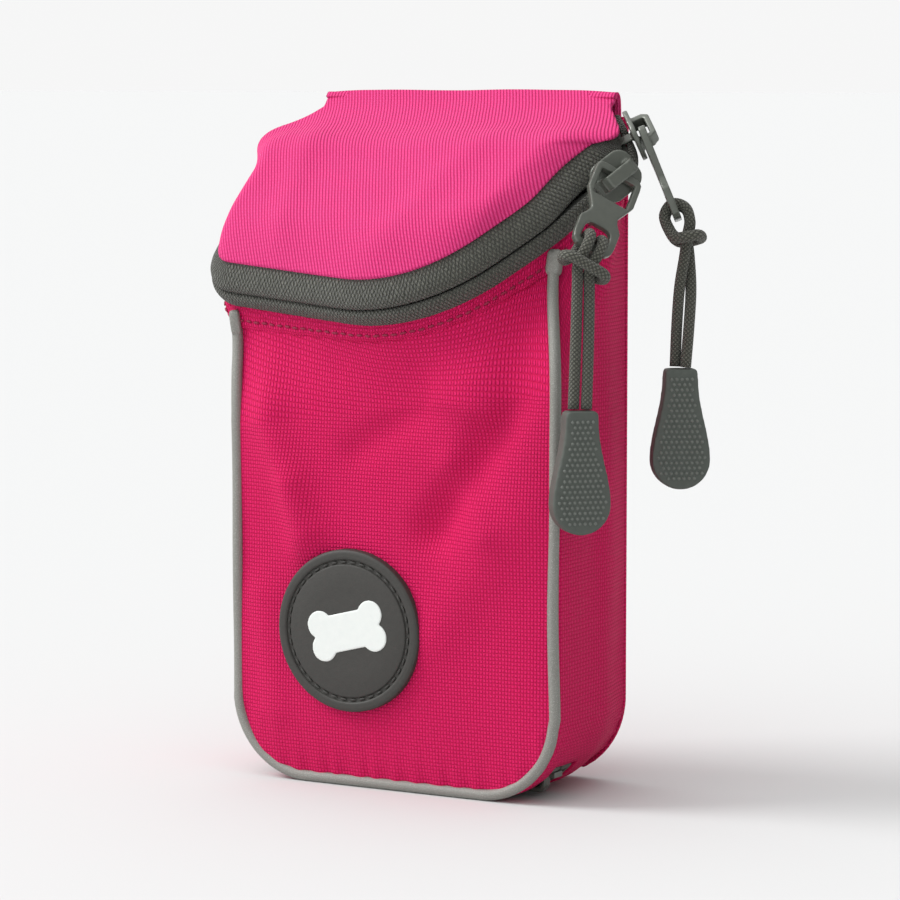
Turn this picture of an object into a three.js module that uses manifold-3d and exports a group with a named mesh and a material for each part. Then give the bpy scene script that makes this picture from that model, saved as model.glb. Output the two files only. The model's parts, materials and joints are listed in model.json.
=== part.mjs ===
// A zipped treat pouch, standing on its base, in millimetres.
// +X is the wearer's side with the zip pulls, -Y the front, +Z up; the origin is the middle of the base.
// The pouch opens along a sloping parting surface that passes through the lid's fold at the back top
// edge. A point on it is given as (x, v, n): x across, v down the slope from the fold, n square to it.
import * as THREE from "three";
import { mergeVertices } from "three/addons/utils/BufferGeometryUtils.js";
import Module from "manifold-3d";

// Driving sizes
const WIDTH = 82; // outside, across the front
const DEPTH = 36; // outside, front to back
const FOLD_HEIGHT = 148; // the lid's fold above the base
const FOLD_INSET = 0.5; // the fold lies this far inside the back face
const SLOPE = 46.3; // degrees, the parting surface's fall at the middle
const SKEW = 0.07; // degrees for each mm, the soft pouch stands a little twisted
const CORNER = 19; // radius of the bottom corners
const CLOTH = 1; // thickness of the woven panels
const GAP = 0.3; // between sewn pieces
const PIPING_R = 1.2; // reflective piping round the front panel
const ZIP_OVERHANG = 6.6; // the zip stands out past the side walls
const ZIP_FRONT_OVERHANG = 5.2; // and past the front panel, at its lowest point
const ZIP_SPLIT = 0.6; // half the opening between the two tapes
const TAPE = 1; // thickness of a zip tape
const TAPE_DROP = 5; // height of the lower tape
const TAPE_RISE = 5.8; // height of the upper tape
const TAPE_LEAN = 6.2; // how far the upper tape leans in over the pouch
const TAPE_STEP = 2.7; // the upper tape's edge lies inside the lower one's, clear of the sliders
const COIL = 1.4; // width and height of one half of the coil
const LINING_INSET = 3; // lining inside the walls
const LINING_FLOOR = 28; // floor of the treat compartment
const POCKET_RECESS = 6; // the base cloth arches up to the bottom zip by this much
const POCKET_ZIP_Y = -6.4; // line of the bottom zip
const POCKET_SLOT = 9.8; // width of the arch the bottom zip lies in
const BADGE_R = 17.8;
const BADGE_THICK = 2.2;
const BADGE_X = -10.5;
const BADGE_Z = 36;
const LOOP_WIDTH = 30; // webbing belt loop on the back
const LOOP_TOP = 122;
const LOOP_BOTTOM = 52;
const LOOP_GAP = 6.5; // room for a belt
const WEBBING = 1.6;
const SLIDER = { length: 10.4, width: 9.4, plate: 1.1, bridgeWidth: 3, bridgeWindow: 2.6 };
const POCKET_SLIDER = { length: 9.6, width: 6.2, plate: 1, bridgeWidth: 2.4, bridgeWindow: 2.4 };
const POCKET_SLIDER_X = 29; // where the bottom zip's slider is parked
const PULL = { thick: 1.6, head: 11, window: 8.2, windowLength: 7.2, waist: 6.4, end: 9.6, length: 20.6 };
const POCKET_PULL = { thick: 1.4, head: 6.6, window: 4, windowLength: 4.6, waist: 4, end: 5.4, length: 15 };
const EYE_BAR = 1.8; // metal below the eye that the cord goes round
const CORD_R = 1.2;
const GRIP = { length: 26, top: 7, bulb: 12.6, thick: 4.4 };

const BACK_Y = DEPTH / 2;
const FRONT_Y = -DEPTH / 2;
const FOLD_Y = BACK_Y - FOLD_INSET;
const COLOURS = {
  pink: 0xd61e62, lining: 0x8d8f8c, tape: 0x62645c, coil: 0x4c4e49, metal: 0x737a73,
  rubber: 0x555f55, cord: 0x5a5a50, piping: 0x9b9b96, badge: 0x3e3d39, emblem: 0xe1e6e1,
  plastic: 0x2b2c2b,
};

const wasm = await Module();
wasm.setup();
const pouch = new THREE.Group();

function add(name, geometry, colour, roughness = 0.9, metalness = 0, parent = pouch) {
  const material = new THREE.MeshStandardMaterial({ color: COLOURS[colour], roughness, metalness });
  const mesh = new THREE.Mesh(geometry, material);
  mesh.name = name;
  parent.add(mesh);
  return mesh;
}

function toSolid(geometry) {
  const bare = geometry.clone();
  bare.deleteAttribute("normal");
  bare.deleteAttribute("uv");
  const merged = mergeVertices(bare, 1e-3);
  return new wasm.Manifold(new wasm.Mesh({
    numProp: 3,
    vertProperties: new Float32Array(merged.attributes.position.array),
    triVerts: new Uint32Array(merged.index.array),
  }));
}

function toGeometry(solid) {
  const mesh = solid.getMesh();
  const geometry = new THREE.BufferGeometry();
  const points = new Float32Array(mesh.vertProperties);
  geometry.setAttribute("position", new THREE.BufferAttribute(points, 3));
  geometry.setIndex(new THREE.BufferAttribute(new Uint32Array(mesh.triVerts), 1));
  geometry.computeVertexNormals();
  return geometry;
}

// Gives a shape its holes, each drawn the other way round from its outline, as an extrusion needs.
function pierced(shape, ...holes) {
  const turns = THREE.ShapeUtils.isClockWise(shape.getPoints());
  for (const hole of holes) {
    const points = hole.getPoints(3);
    if (THREE.ShapeUtils.isClockWise(points) === turns) points.reverse();
    shape.holes.push(new THREE.Path(points));
  }
  return shape;
}

const cut = (body, ...tools) =>
  toGeometry(tools.reduce((rest, tool) => rest.subtract(toSolid(tool)), toSolid(body)));
const common = (body, tool) => toGeometry(toSolid(body).intersect(toSolid(tool)));
const join = (...bodies) => toGeometry(bodies.map(toSolid).reduce((all, next) => all.add(next)));

// The parting surface
const radians = (degrees) => (degrees * Math.PI) / 180;
const slopeAt = (x) => radians(SLOPE - SKEW * x);

function onSlope(x, v, n = 0) {
  const a = slopeAt(x);
  return new THREE.Vector3(
    x,
    FOLD_Y - v * Math.cos(a) - n * Math.sin(a),
    FOLD_HEIGHT - v * Math.sin(a) + n * Math.cos(a),
  );
}

// A direction on the parting surface, given by its parts along x, v and n.
function slopeDirection(x, along) {
  const a = slopeAt(x);
  return new THREE.Vector3(
    along[0],
    -along[1] * Math.cos(a) - along[2] * Math.sin(a),
    -along[1] * Math.sin(a) + along[2] * Math.cos(a),
  );
}

// Bends a flat shape, made in (x, v, n), onto the parting surface.
function bendOnSlope(geometry, height = () => 1) {
  const place = geometry.attributes.position;
  for (let i = 0; i < place.count; i++) {
    const n = place.getZ(i) * height(place.getY(i));
    const p = onSlope(place.getX(i), place.getY(i), n);
    place.setXYZ(i, p.x, p.y, p.z);
  }
  // Down the slope, across it and square to it make a left-handed set, so faces are turned round.
  const flat = geometry.index ? geometry.toNonIndexed() : geometry;
  const points = flat.attributes.position;
  for (let i = 0; i < points.count; i += 3) {
    const a = new THREE.Vector3().fromBufferAttribute(points, i + 1);
    const b = new THREE.Vector3().fromBufferAttribute(points, i + 2);
    points.setXYZ(i + 1, b.x, b.y, b.z);
    points.setXYZ(i + 2, a.x, a.y, a.z);
  }
  flat.deleteAttribute("uv");
  flat.computeVertexNormals();
  return flat;
}

// A line through corner points (x, v), each inner corner rounded by its radius.
// Each step holds its place and the unit direction pointing out of the pouch.
function roundedLine(corners, radii, steps = 7) {
  const points = corners.map(([x, v]) => new THREE.Vector2(x, v));
  const line = [];
  const outward = (from, to) => new THREE.Vector2(to.y - from.y, from.x - to.x).normalize();
  line.push({ place: points[0], out: outward(points[0], points[1]) });
  for (let i = 1; i < points.length - 1; i++) {
    const back = points[i - 1].clone().sub(points[i]).normalize();
    const ahead = points[i + 1].clone().sub(points[i]).normalize();
    const half = Math.acos(back.dot(ahead)) / 2;
    const middle = back.clone().add(ahead).normalize();
    const centre = points[i].clone().addScaledVector(middle, radii[i - 1] / Math.sin(half));
    const first = outward(points[i - 1], points[i]);
    const last = outward(points[i], points[i + 1]);
    const turn = Math.atan2(first.cross(last), first.dot(last));
    for (let k = 0; k <= steps; k++) {
      const out = first.clone().rotateAround(new THREE.Vector2(), (turn * k) / steps);
      line.push({ place: centre.clone().addScaledVector(out, radii[i - 1]), out });
    }
  }
  const end = points.length - 1;
  line.push({ place: points[end], out: outward(points[end - 1], points[end]) });
  return line;
}

// The zip's line: from the fold's right end, round the front, to its left end.
const SIDE = WIDTH / 2 + ZIP_OVERHANG;
const REACH = (FOLD_Y - FRONT_Y + ZIP_FRONT_OVERHANG) / Math.cos(radians(SLOPE));
const REAR_V = 15; // the rear corners, down the slope from the fold
const END_V = 1.4;
const END_INSET = 10.2;
const REAR_RUN = Math.hypot(END_INSET, REAR_V - END_V);
const REAR_R = 9;
const RIGHT_REAR = [SIDE, REAR_V];
const RIGHT_MID = [SIDE - 14.1, REACH - 20.5];
const RIGHT_FRONT = [SIDE - 35.6, REACH + 4.5];
const LEFT_FRONT = [-SIDE - 2.9, REACH - 5.9];
const zipLine = roundedLine(
  [[SIDE - END_INSET, END_V], RIGHT_REAR, RIGHT_MID, RIGHT_FRONT, LEFT_FRONT,
    [-SIDE, REAR_V], [-SIDE + END_INSET, END_V]],
  [REAR_R, 60, 38, 10, REAR_R],
);

// A strip run along a line. Its section, a function of v, is a list of points (o, n), o out from
// the line, listed anticlockwise.
function stripAlong(line, section, height = () => 1) {
  const sections = line.map(({ place }) => section(place.y).map(([o, n]) => new THREE.Vector2(o, n)));
  const outline = sections[sections.length >> 1];
  const rings = line.map(({ place, out }, i) =>
    sections[i].map((s) => {
      const v = place.y + out.y * s.x;
      return onSlope(place.x + out.x * s.x, v, s.y * height(v));
    }));
  return loft(rings, outline);
}

// A closed solid over a row of rings, each with a point for every corner of the outline.
function loft(rings, outline) {
  const corners = [];
  const count = outline.length;
  for (let i = 0; i < rings.length - 1; i++) {
    for (let k = 0; k < count; k++) {
      const m = (k + 1) % count;
      corners.push(rings[i][k], rings[i][m], rings[i + 1][m]);
      corners.push(rings[i][k], rings[i + 1][m], rings[i + 1][k]);
    }
  }
  const last = rings[rings.length - 1];
  for (const [a, b, c] of THREE.ShapeUtils.triangulateShape(outline, [])) {
    corners.push(rings[0][a], rings[0][c], rings[0][b]);
    corners.push(last[a], last[b], last[c]);
  }
  const geometry = new THREE.BufferGeometry().setFromPoints(corners);
  geometry.computeVertexNormals();
  return geometry;
}

// A flat sheet on the parting surface, from n0 up to n1, inside the line moved out by o.
function sheetInside(line, o, n0, n1, height) {
  const edge = line.map(({ place, out }) => place.clone().addScaledVector(out, o));
  const shape = new THREE.Shape(edge);
  const sheet = new THREE.ExtrudeGeometry(shape, { depth: n1 - n0, bevelEnabled: false });
  sheet.translate(0, 0, n0);
  return bendOnSlope(sheet, height);
}

// The lid is thinner towards its fold.
const lidHeight = (v) => 0.45 + 0.55 * THREE.MathUtils.smoothstep(v, 0, 18);

// Outline of the front, seen from the front: straight sides, rounded bottom corners, drawn by its walls.
function frontOutline(inset, top) {
  const half = WIDTH / 2 - inset;
  const r = CORNER - inset;
  const shape = new THREE.Shape();
  shape.moveTo(half, top);
  shape.lineTo(half, inset + r);
  shape.absarc(half - r, inset + r, r, 0, -Math.PI / 2, true);
  shape.lineTo(-half + r, inset);
  shape.absarc(-half + r, inset + r, r, -Math.PI / 2, -Math.PI, true);
  shape.lineTo(-half, top);
  return shape;
}

// Raises a shape drawn in (x, z) into a plate that reaches from y0 back to y1.
function plate(shape, y0, y1, curveSegments = 8) {
  const geometry = new THREE.ExtrudeGeometry(shape, { depth: y1 - y0, bevelEnabled: false, curveSegments });
  geometry.rotateX(Math.PI / 2);
  geometry.translate(0, y1, 0);
  return geometry;
}

function box(x0, x1, y0, y1, z0, z1) {
  const geometry = new THREE.BoxGeometry(x1 - x0, y1 - y0, z1 - z0);
  geometry.translate((x0 + x1) / 2, (y0 + y1) / 2, (z0 + z1) / 2);
  return geometry;
}

// Everything higher than n above the parting surface.
function aboveSlope(n) {
  const reach = FOLD_HEIGHT * 1.5;
  const block = new THREE.BoxGeometry(WIDTH * 2, reach, reach, 12, 14, 1);
  block.translate(0, reach / 2 - 60, n + reach / 2);
  return bendOnSlope(block);
}

const WALL_TOP = -TAPE_DROP - CLOTH - 2 * GAP; // walls end below the zip's facing
const TALL = FOLD_HEIGHT + 20;

function frontPanel() {
  const inset = PIPING_R * 2 + GAP;
  return cut(plate(frontOutline(inset, TALL), FRONT_Y, FRONT_Y + CLOTH), aboveSlope(WALL_TOP));
}

function sideGusset() {
  const front = FRONT_Y + PIPING_R * 2 + GAP;
  const back = BACK_Y - CLOTH - GAP;
  const outer = plate(frontOutline(0, TALL), front, back);
  const inner = plate(frontOutline(CLOTH, TALL + 1), front - 1, back + 1);
  const slot = box(-WIDTH / 2 - 1, WIDTH / 2 + 1, POCKET_ZIP_Y - POCKET_SLOT / 2,
    POCKET_ZIP_Y + POCKET_SLOT / 2, -1, POCKET_RECESS + CLOTH + GAP);
  return cut(outer, inner, slot, aboveSlope(WALL_TOP));
}

const BACK_TOP = FOLD_HEIGHT - 3.2; // stays under the swing of the lid's back edge
const behindWall = () => box(-WIDTH, WIDTH, BACK_Y - CLOTH - GAP, DEPTH, 0, TALL);

const backPanel = () => plate(frontOutline(0, BACK_TOP), BACK_Y - CLOTH, BACK_Y);

function backStiffener() {
  const y1 = BACK_Y - CLOTH - GAP;
  return plate(frontOutline(CLOTH + GAP, BACK_TOP - 10), y1 - 1.2, y1);
}

function innerLining() {
  const half = WIDTH / 2 - LINING_INSET;
  const front = FRONT_Y + LINING_INSET + GAP;
  const back = BACK_Y - CLOTH - 1.2 - 3 * GAP;
  const skin = 0.8;
  const outer = box(-half, half, front, back, LINING_FLOOR - skin, TALL);
  const inner = box(-half + skin, half - skin, front + skin, back - skin, LINING_FLOOR, TALL + 1);
  return cut(outer, inner, aboveSlope(WALL_TOP - 2));
}

// The cloth between the walls and the zip's lower tape, with the mouth cut out of it.
function zipFacing() {
  const shoulder = (FOLD_Y - FRONT_Y) / Math.cos(slopeAt(WIDTH / 2));
  const edge = roundedLine(
    [[SIDE - END_INSET, END_V + 2], RIGHT_REAR, [WIDTH / 2 + 0.5, shoulder + 1], RIGHT_FRONT,
      LEFT_FRONT, [-SIDE, REAR_V], [-SIDE + END_INSET, END_V + 2]],
    [REAR_R, 5, 38, 10, REAR_R],
  );
  const block = sheetInside(edge, -GAP, WALL_TOP - 4, 0);
  const sheet = common(block, aboveSlope(WALL_TOP + GAP));
  const mouth = sheetInside(zipLine, -8.5, WALL_TOP - 5, 1);
  return cut(sheet, aboveSlope(WALL_TOP + GAP + CLOTH), mouth, behindWall());
}

function piping() {
  const y = FRONT_Y + PIPING_R;
  const half = WIDTH / 2 - PIPING_R;
  const r = CORNER - PIPING_R;
  const low = PIPING_R + 0.05; // just clear of what the pouch stands on
  const straight = 3; // from a bend to the next point on the line
  const top = (side) => onSlope(side * half, (FOLD_Y - y) / Math.cos(slopeAt(side * half)), 0).z + WALL_TOP;
  const at = (x, z) => new THREE.Vector3(x, y, z);
  const corner = (cx, from) => {
    const points = [];
    for (let k = 0; k <= 8; k++) {
      const a = from - (k / 8) * (Math.PI / 2);
      points.push(at(cx + r * Math.cos(a), low + r + r * Math.sin(a)));
    }
    return points;
  };
  const points = [
    at(half, top(1)), at(half, low + r + straight), ...corner(half - r, 0), at(half - r - straight, low),
    at(-half + r + straight, low), ...corner(-half + r, -Math.PI / 2), at(-half, low + r + straight),
    at(-half, top(-1)),
  ];
  return ringedTube(points, PIPING_R, 8, 52);
}

// A round tube through points, its rings square to the line; it has closed ends.
function ringedTube(points, radius, sides, steps) {
  const path = new THREE.CatmullRomCurve3(points, false, "centripetal");
  path.arcLengthDivisions = 400;
  const circle = new THREE.Shape();
  for (let k = 0; k < sides; k++) {
    const a = (k / sides) * Math.PI * 2;
    if (k === 0) circle.moveTo(radius * Math.cos(a), radius * Math.sin(a));
    else circle.lineTo(radius * Math.cos(a), radius * Math.sin(a));
  }
  circle.closePath();
  return new THREE.ExtrudeGeometry(circle, { steps, extrudePath: path, bevelEnabled: false });
}

// The zip on the mouth
const lowerTape = () => cut(stripAlong(zipLine, () => [
  [0, -ZIP_SPLIT], [-TAPE, -ZIP_SPLIT], [-TAPE - 0.8, -TAPE_DROP], [-0.8, -TAPE_DROP],
]), behindWall());

const LOWER_COIL = { o: -TAPE - GAP - 0.4, n: -ZIP_SPLIT - 0.2 };
const STOP_START = 2; // the stops stand this far in from the ends of the zip's line
const STOP_LENGTH = 1.6;

// A line with both its ends moved in by a distance.
function shortened(line, by) {
  const end = line.length - 1;
  const moved = (i, next) => {
    const ahead = line[next].place.clone().sub(line[i].place).normalize();
    return { place: line[i].place.clone().addScaledVector(ahead, by), out: line[i].out };
  };
  return [moved(0, 1), ...line.slice(1, end), moved(end, end - 1)];
}

function lowerCoil() {
  const { o, n } = LOWER_COIL;
  const line = shortened(zipLine, STOP_START + STOP_LENGTH + GAP);
  return stripAlong(line, () => [[o, n], [o - COIL, n], [o - COIL, n - COIL], [o, n - COIL]]);
}

// A moulded stop at one end of the lower coil, in line with it.
function zipStop(side) {
  const from = shortened(zipLine, STOP_START);
  const to = shortened(zipLine, STOP_START + STOP_LENGTH);
  const pick = (line) => (side > 0 ? line[0] : line[line.length - 1]);
  const line = side > 0 ? [pick(from), pick(to)] : [pick(to), pick(from)];
  const { o, n } = LOWER_COIL;
  return stripAlong(line, () => [[o, n], [o - 1.6, n], [o - 1.6, n - 1.8], [o, n - 1.8]]);
}

const UPRIGHT = 2.4; // the upper tape stands up this far before it leans over the pouch
const LEAN_IN = -TAPE_STEP - TAPE_LEAN;

// Behind the sliders the upper tape stands nearly upright, under the lid's back corners.
function upperTape() {
  return stripAlong(zipLine, (v) => {
    const lean = THREE.MathUtils.smoothstep(v, 9, 21);
    const o = -TAPE_STEP - THREE.MathUtils.lerp(1.6, TAPE_LEAN, lean);
    const n = THREE.MathUtils.lerp(TAPE_RISE - 1.6, TAPE_RISE, lean);
    return [
      [-TAPE_STEP, ZIP_SPLIT], [-TAPE_STEP, UPRIGHT], [o, n], [o, n - TAPE],
      [-TAPE_STEP - TAPE, UPRIGHT - 0.6], [-TAPE_STEP - TAPE, ZIP_SPLIT],
    ];
  }, lidHeight);
}

function upperCoil() {
  const o = -TAPE_STEP - TAPE - GAP;
  const n = ZIP_SPLIT;
  return stripAlong(zipLine, () => [[o, n], [o, n + 1], [o - COIL, n + 1.4], [o - COIL, n]], lidHeight);
}

// The lid: its edge lies just inside the upper tape and reaches the fold at the back corners.
const LID_BACK_HALF = 37;
const LID_OVER = 2.2; // the lid's back edge stands behind the fold

function lidLine(inset) {
  const edge = LEAN_IN - GAP - inset;
  const back = LID_BACK_HALF - inset * 1.7;
  const inside = offsetCorners([RIGHT_REAR, RIGHT_MID, RIGHT_FRONT, LEFT_FRONT, [-SIDE, REAR_V]], edge);
  // The inner sheets' back corners lie further down, clear of the upright tape.
  for (const [corner, next] of [[0, 1], [4, 3]]) {
    const ahead = new THREE.Vector2(...inside[next]).sub(new THREE.Vector2(...inside[corner])).normalize();
    inside[corner][0] += ahead.x * inset * 1.4;
    inside[corner][1] += ahead.y * inset * 1.4;
  }
  return roundedLine([[back, -LID_OVER], ...inside, [-back, -LID_OVER]], [8, 50, 29, 3, 8]);
}

// Moves each side of a line of corners out by o; the first and last corners move square to their sides.
function offsetCorners(corners, o) {
  const points = corners.map(([x, v]) => new THREE.Vector2(x, v));
  const outward = (i) => new THREE.Vector2(
    points[i + 1].y - points[i].y, points[i].x - points[i + 1].x).normalize();
  return points.map((point, i) => {
    const before = outward(Math.max(i - 1, 0));
    const after = outward(Math.min(i, points.length - 2));
    const middle = before.clone().add(after).normalize();
    const moved = point.clone().addScaledVector(middle, o / middle.dot(after));
    return [moved.x, moved.y];
  });
}

// A sheet of the lid, built in rows down the slope, each from its left edge to its right edge.
function lidSheet(inset, n0, n1) {
  const edge = lidLine(inset).map(({ place }) => place);
  const reach = Math.max(...edge.map(({ y }) => y)) - 0.3;
  const rows = 26;
  const rings = [];
  for (let k = 0; k <= rows; k++) {
    const v = THREE.MathUtils.lerp(-LID_OVER + 1e-4, reach, k / rows);
    const xs = [];
    edge.forEach((a, i) => {
      const b = edge[(i + 1) % edge.length];
      if (a.y > v !== b.y > v) xs.push(a.x + ((b.x - a.x) * (v - a.y)) / (b.y - a.y));
    });
    const [left, right] = [Math.min(...xs), Math.max(...xs)];
    const ring = [[left, n0], [right, n0], [right, n1], [left, n1]];
    rings.push(ring.map(([x, n]) => onSlope(x, v, n * lidHeight(v))));
  }
  const outline = [[-1, 0], [1, 0], [1, 1], [-1, 1]].map(([x, y]) => new THREE.Vector2(x, y));
  return loft(rings, outline);
}

const LID_N = TAPE_RISE - 0.4;
const lidPanel = () => lidSheet(0, LID_N, LID_N + CLOTH);
const lidStiffener = () => lidSheet(3, LID_N - 1.3, LID_N - 0.6);
const lidLining = () => lidSheet(3, LID_N - 2.6, LID_N - 1.9);

// The bottom zip, under the base, in the arch between its two flaps
function pocketTape(side) {
  const reach = WIDTH / 2 - 5;
  const edge = POCKET_ZIP_Y + side * (POCKET_SLOT / 2 - GAP);
  const lip = POCKET_ZIP_Y + side * ZIP_SPLIT;
  const low = 1.4;
  const shape = new THREE.Shape([
    new THREE.Vector2(lip, POCKET_RECESS),
    new THREE.Vector2(edge - side * TAPE, POCKET_RECESS),
    new THREE.Vector2(edge - side * TAPE, low),
    new THREE.Vector2(edge, low),
    new THREE.Vector2(edge, POCKET_RECESS + TAPE),
    new THREE.Vector2(lip, POCKET_RECESS + TAPE),
  ]);
  const outline = plate(frontOutline(GAP, FOLD_HEIGHT), FRONT_Y, BACK_Y);
  return common(alongX(shape, -reach, reach), outline);
}

function pocketCoil(side) {
  const near = POCKET_ZIP_Y + side * (ZIP_SPLIT + 0.2);
  const far = near + side * COIL;
  const z0 = POCKET_RECESS + TAPE + GAP;
  const shape = new THREE.Shape([
    new THREE.Vector2(near, z0), new THREE.Vector2(far, z0),
    new THREE.Vector2(far, z0 + COIL), new THREE.Vector2(near, z0 + COIL),
  ]);
  return alongX(shape, -WIDTH / 2 + 6, WIDTH / 2 - 6);
}

function alongX(shape, x0, x1) {
  const geometry = new THREE.ExtrudeGeometry(shape, { depth: x1 - x0, bevelEnabled: false });
  // The shape is drawn in (y, z), so its x turns to Y, its y to Z and its depth to X.
  geometry.applyMatrix4(new THREE.Matrix4().set(0, 0, 1, x0, 1, 0, 0, 0, 0, 1, 0, 0, 0, 0, 0, 1));
  return geometry;
}

// A slider, along its own X, standing out along its own Z from a track at Z = 0.
function slider(size, roll, depth) {
  const { length, width, plate: thick, bridgeWidth, bridgeWindow } = size;
  const lift = 0.4; // plate above the tape
  const outer = roundedPlate(length, width, thick, 3);
  outer.translate(0, 0, lift);
  const top = lift + thick;
  const high = top + bridgeWindow + 1.3;
  const half = length / 2 - 1;
  const gap = half - 1.4;
  const profile = new THREE.Shape([
    new THREE.Vector2(-half, top - 0.3), new THREE.Vector2(-half, high - 1.4),
    new THREE.Vector2(-half + 1.2, high), new THREE.Vector2(half - 1.2, high),
    new THREE.Vector2(half, high - 1.4), new THREE.Vector2(half, top - 0.3),
  ]);
  const window = new THREE.Path([
    new THREE.Vector2(-gap, top), new THREE.Vector2(-gap, top + bridgeWindow),
    new THREE.Vector2(gap, top + bridgeWindow), new THREE.Vector2(gap, top),
  ]);
  const bridge = new THREE.ExtrudeGeometry(pierced(profile, window), { depth: bridgeWidth, bevelEnabled: false });
  bridge.rotateX(Math.PI / 2);
  bridge.translate(0, bridgeWidth / 2, 0);
  outer.rotateX(roll);
  bridge.rotateX(roll);
  const neck = new THREE.BoxGeometry(2.4, 2 * (ZIP_SPLIT - GAP), depth + 1.1);
  neck.translate(0, 0, (1.1 - depth) / 2);
  const inner = new THREE.BoxGeometry(length * 0.35, width * 0.62, thick);
  inner.translate(0, width * 0.08, -depth);
  return join(outer, bridge, neck, inner);
}

function roundedPlate(length, width, thick, r) {
  const a = length / 2 - r;
  const b = width / 2 - r;
  const shape = new THREE.Shape();
  shape.absarc(a, b, r, 0, Math.PI / 2);
  shape.absarc(-a, b, r, Math.PI / 2, Math.PI);
  shape.absarc(-a, -b, r, Math.PI, Math.PI * 1.5);
  shape.absarc(a, -b, r, Math.PI * 1.5, Math.PI * 2);
  return new THREE.ExtrudeGeometry(shape, { depth: thick, bevelEnabled: false, curveSegments: 4 });
}

// A pull tab: its bar at the origin, its length along -Z, its width along X, its face along Y.
function pullTab(size) {
  const { thick, head, window, windowLength, waist, end, length } = size;
  const shape = new THREE.Shape();
  const neckZ = windowLength + 3.4;
  const round = end * 0.3;
  shape.moveTo(-head / 2 + 1.6, thick / 2);
  shape.lineTo(head / 2 - 1.6, thick / 2);
  shape.quadraticCurveTo(head / 2, thick / 2, head / 2, -1.4);
  shape.lineTo(head / 2, -windowLength + 1);
  shape.lineTo(waist / 2, -neckZ);
  shape.quadraticCurveTo(waist / 2, -neckZ - 1, end / 2, -neckZ - 3);
  shape.lineTo(end / 2, -length + round);
  shape.quadraticCurveTo(end / 2, -length, end / 2 - round, -length);
  shape.lineTo(-end / 2 + round, -length);
  shape.quadraticCurveTo(-end / 2, -length, -end / 2, -length + round);
  shape.lineTo(-end / 2, -neckZ - 3);
  shape.quadraticCurveTo(-waist / 2, -neckZ - 1, -waist / 2, -neckZ);
  shape.lineTo(-head / 2, -windowLength + 1);
  shape.lineTo(-head / 2, -1.4);
  shape.quadraticCurveTo(-head / 2, thick / 2, -head / 2 + 1.6, thick / 2);
  const slot = new THREE.Path([
    new THREE.Vector2(-window / 2, -thick / 2), new THREE.Vector2(-window / 2, -windowLength),
    new THREE.Vector2(window / 2, -windowLength), new THREE.Vector2(window / 2, -thick / 2),
  ]);
  const eye = new THREE.Path();
  const eyeHalf = end / 2 - 1.7;
  const eyeTop = -length + (end * 2) / 3;
  const r = eyeHalf * 0.6;
  eye.moveTo(-eyeHalf, -length + EYE_BAR);
  eye.lineTo(-eyeHalf, eyeTop - r);
  eye.quadraticCurveTo(-eyeHalf, eyeTop, -eyeHalf + r, eyeTop);
  eye.lineTo(eyeHalf - r, eyeTop);
  eye.quadraticCurveTo(eyeHalf, eyeTop, eyeHalf, eyeTop - r);
  eye.lineTo(eyeHalf, -length + EYE_BAR);
  return plate(pierced(shape, slot, eye), -thick / 2, thick / 2, 3);
}

// Turns and moves a geometry so that its X, Y and Z axes lie along three directions.
function placed(geometry, x, y, z, origin) {
  const frame = new THREE.Matrix4().makeBasis(x, y, z);
  frame.setPosition(origin);
  return geometry.applyMatrix4(frame);
}

// The two sliders on the mouth: where each is parked, how its tab hangs and how its cord is turned.
const CORNER_TO_SLIDER = 7.3; // from the rear corner point to a slider's middle
function trackPoint(from, to) {
  const a = new THREE.Vector2(...from);
  const b = new THREE.Vector2(...to);
  const ahead = b.clone().sub(a).normalize();
  const place = a.clone().addScaledVector(ahead, CORNER_TO_SLIDER);
  return { place, ahead };
}

const PARKED = {
  front: {
    ...trackPoint(RIGHT_REAR, RIGHT_MID),
    forward: 1, roll: radians(35), barShift: 0.2, barLift: 0, hang: new THREE.Vector3(0, -0.65, -0.76),
  },
  rear: {
    ...trackPoint(RIGHT_REAR, [SIDE - END_INSET, END_V]),
    forward: -1, roll: 0, barShift: 0, barLift: 0, hang: new THREE.Vector3(0.4, 0.03, -0.9),
  },
};
const NECK_DEPTH = 6.4;

// Adds a slider and its tab; gives the tab's eye, and its directions along, down and out of its face.
function addSlider(name) {
  const { place, ahead, forward, roll, barShift, barLift, hang } = PARKED[name];
  const x = place.x;
  const track = slopeDirection(x, [ahead.x * forward, ahead.y * forward, 0]).normalize();
  const above = slopeDirection(x, [0, 0, 1]).normalize();
  const out = new THREE.Vector3().crossVectors(above, track).normalize();
  const origin = onSlope(x, place.y, 0);
  const across = new THREE.Vector3().crossVectors(out, track).normalize();
  const body = slider(SLIDER, roll, NECK_DEPTH);
  add(`slider_${name}`, placed(body, track, across, out, origin), "metal", 0.4, 0.7);
  const normal = out.clone().applyAxisAngle(track, roll);
  const bar = origin.clone()
    .addScaledVector(normal, 0.4 + SLIDER.plate + SLIDER.bridgeWindow / 2 + barLift)
    .addScaledVector(track, -barShift);
  const down = hang.clone().normalize();
  const along = new THREE.Vector3().crossVectors(normal, down).normalize();
  const face = new THREE.Vector3().crossVectors(down, along).normalize();
  const up = down.clone().negate();
  add(`pull_${name}`, placed(pullTab(PULL), along, face.clone().negate(), up, bar), "metal", 0.4, 0.7);
  return { eye: bar.addScaledVector(down, PULL.length - EYE_BAR / 2), along, down, out: face };
}

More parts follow.
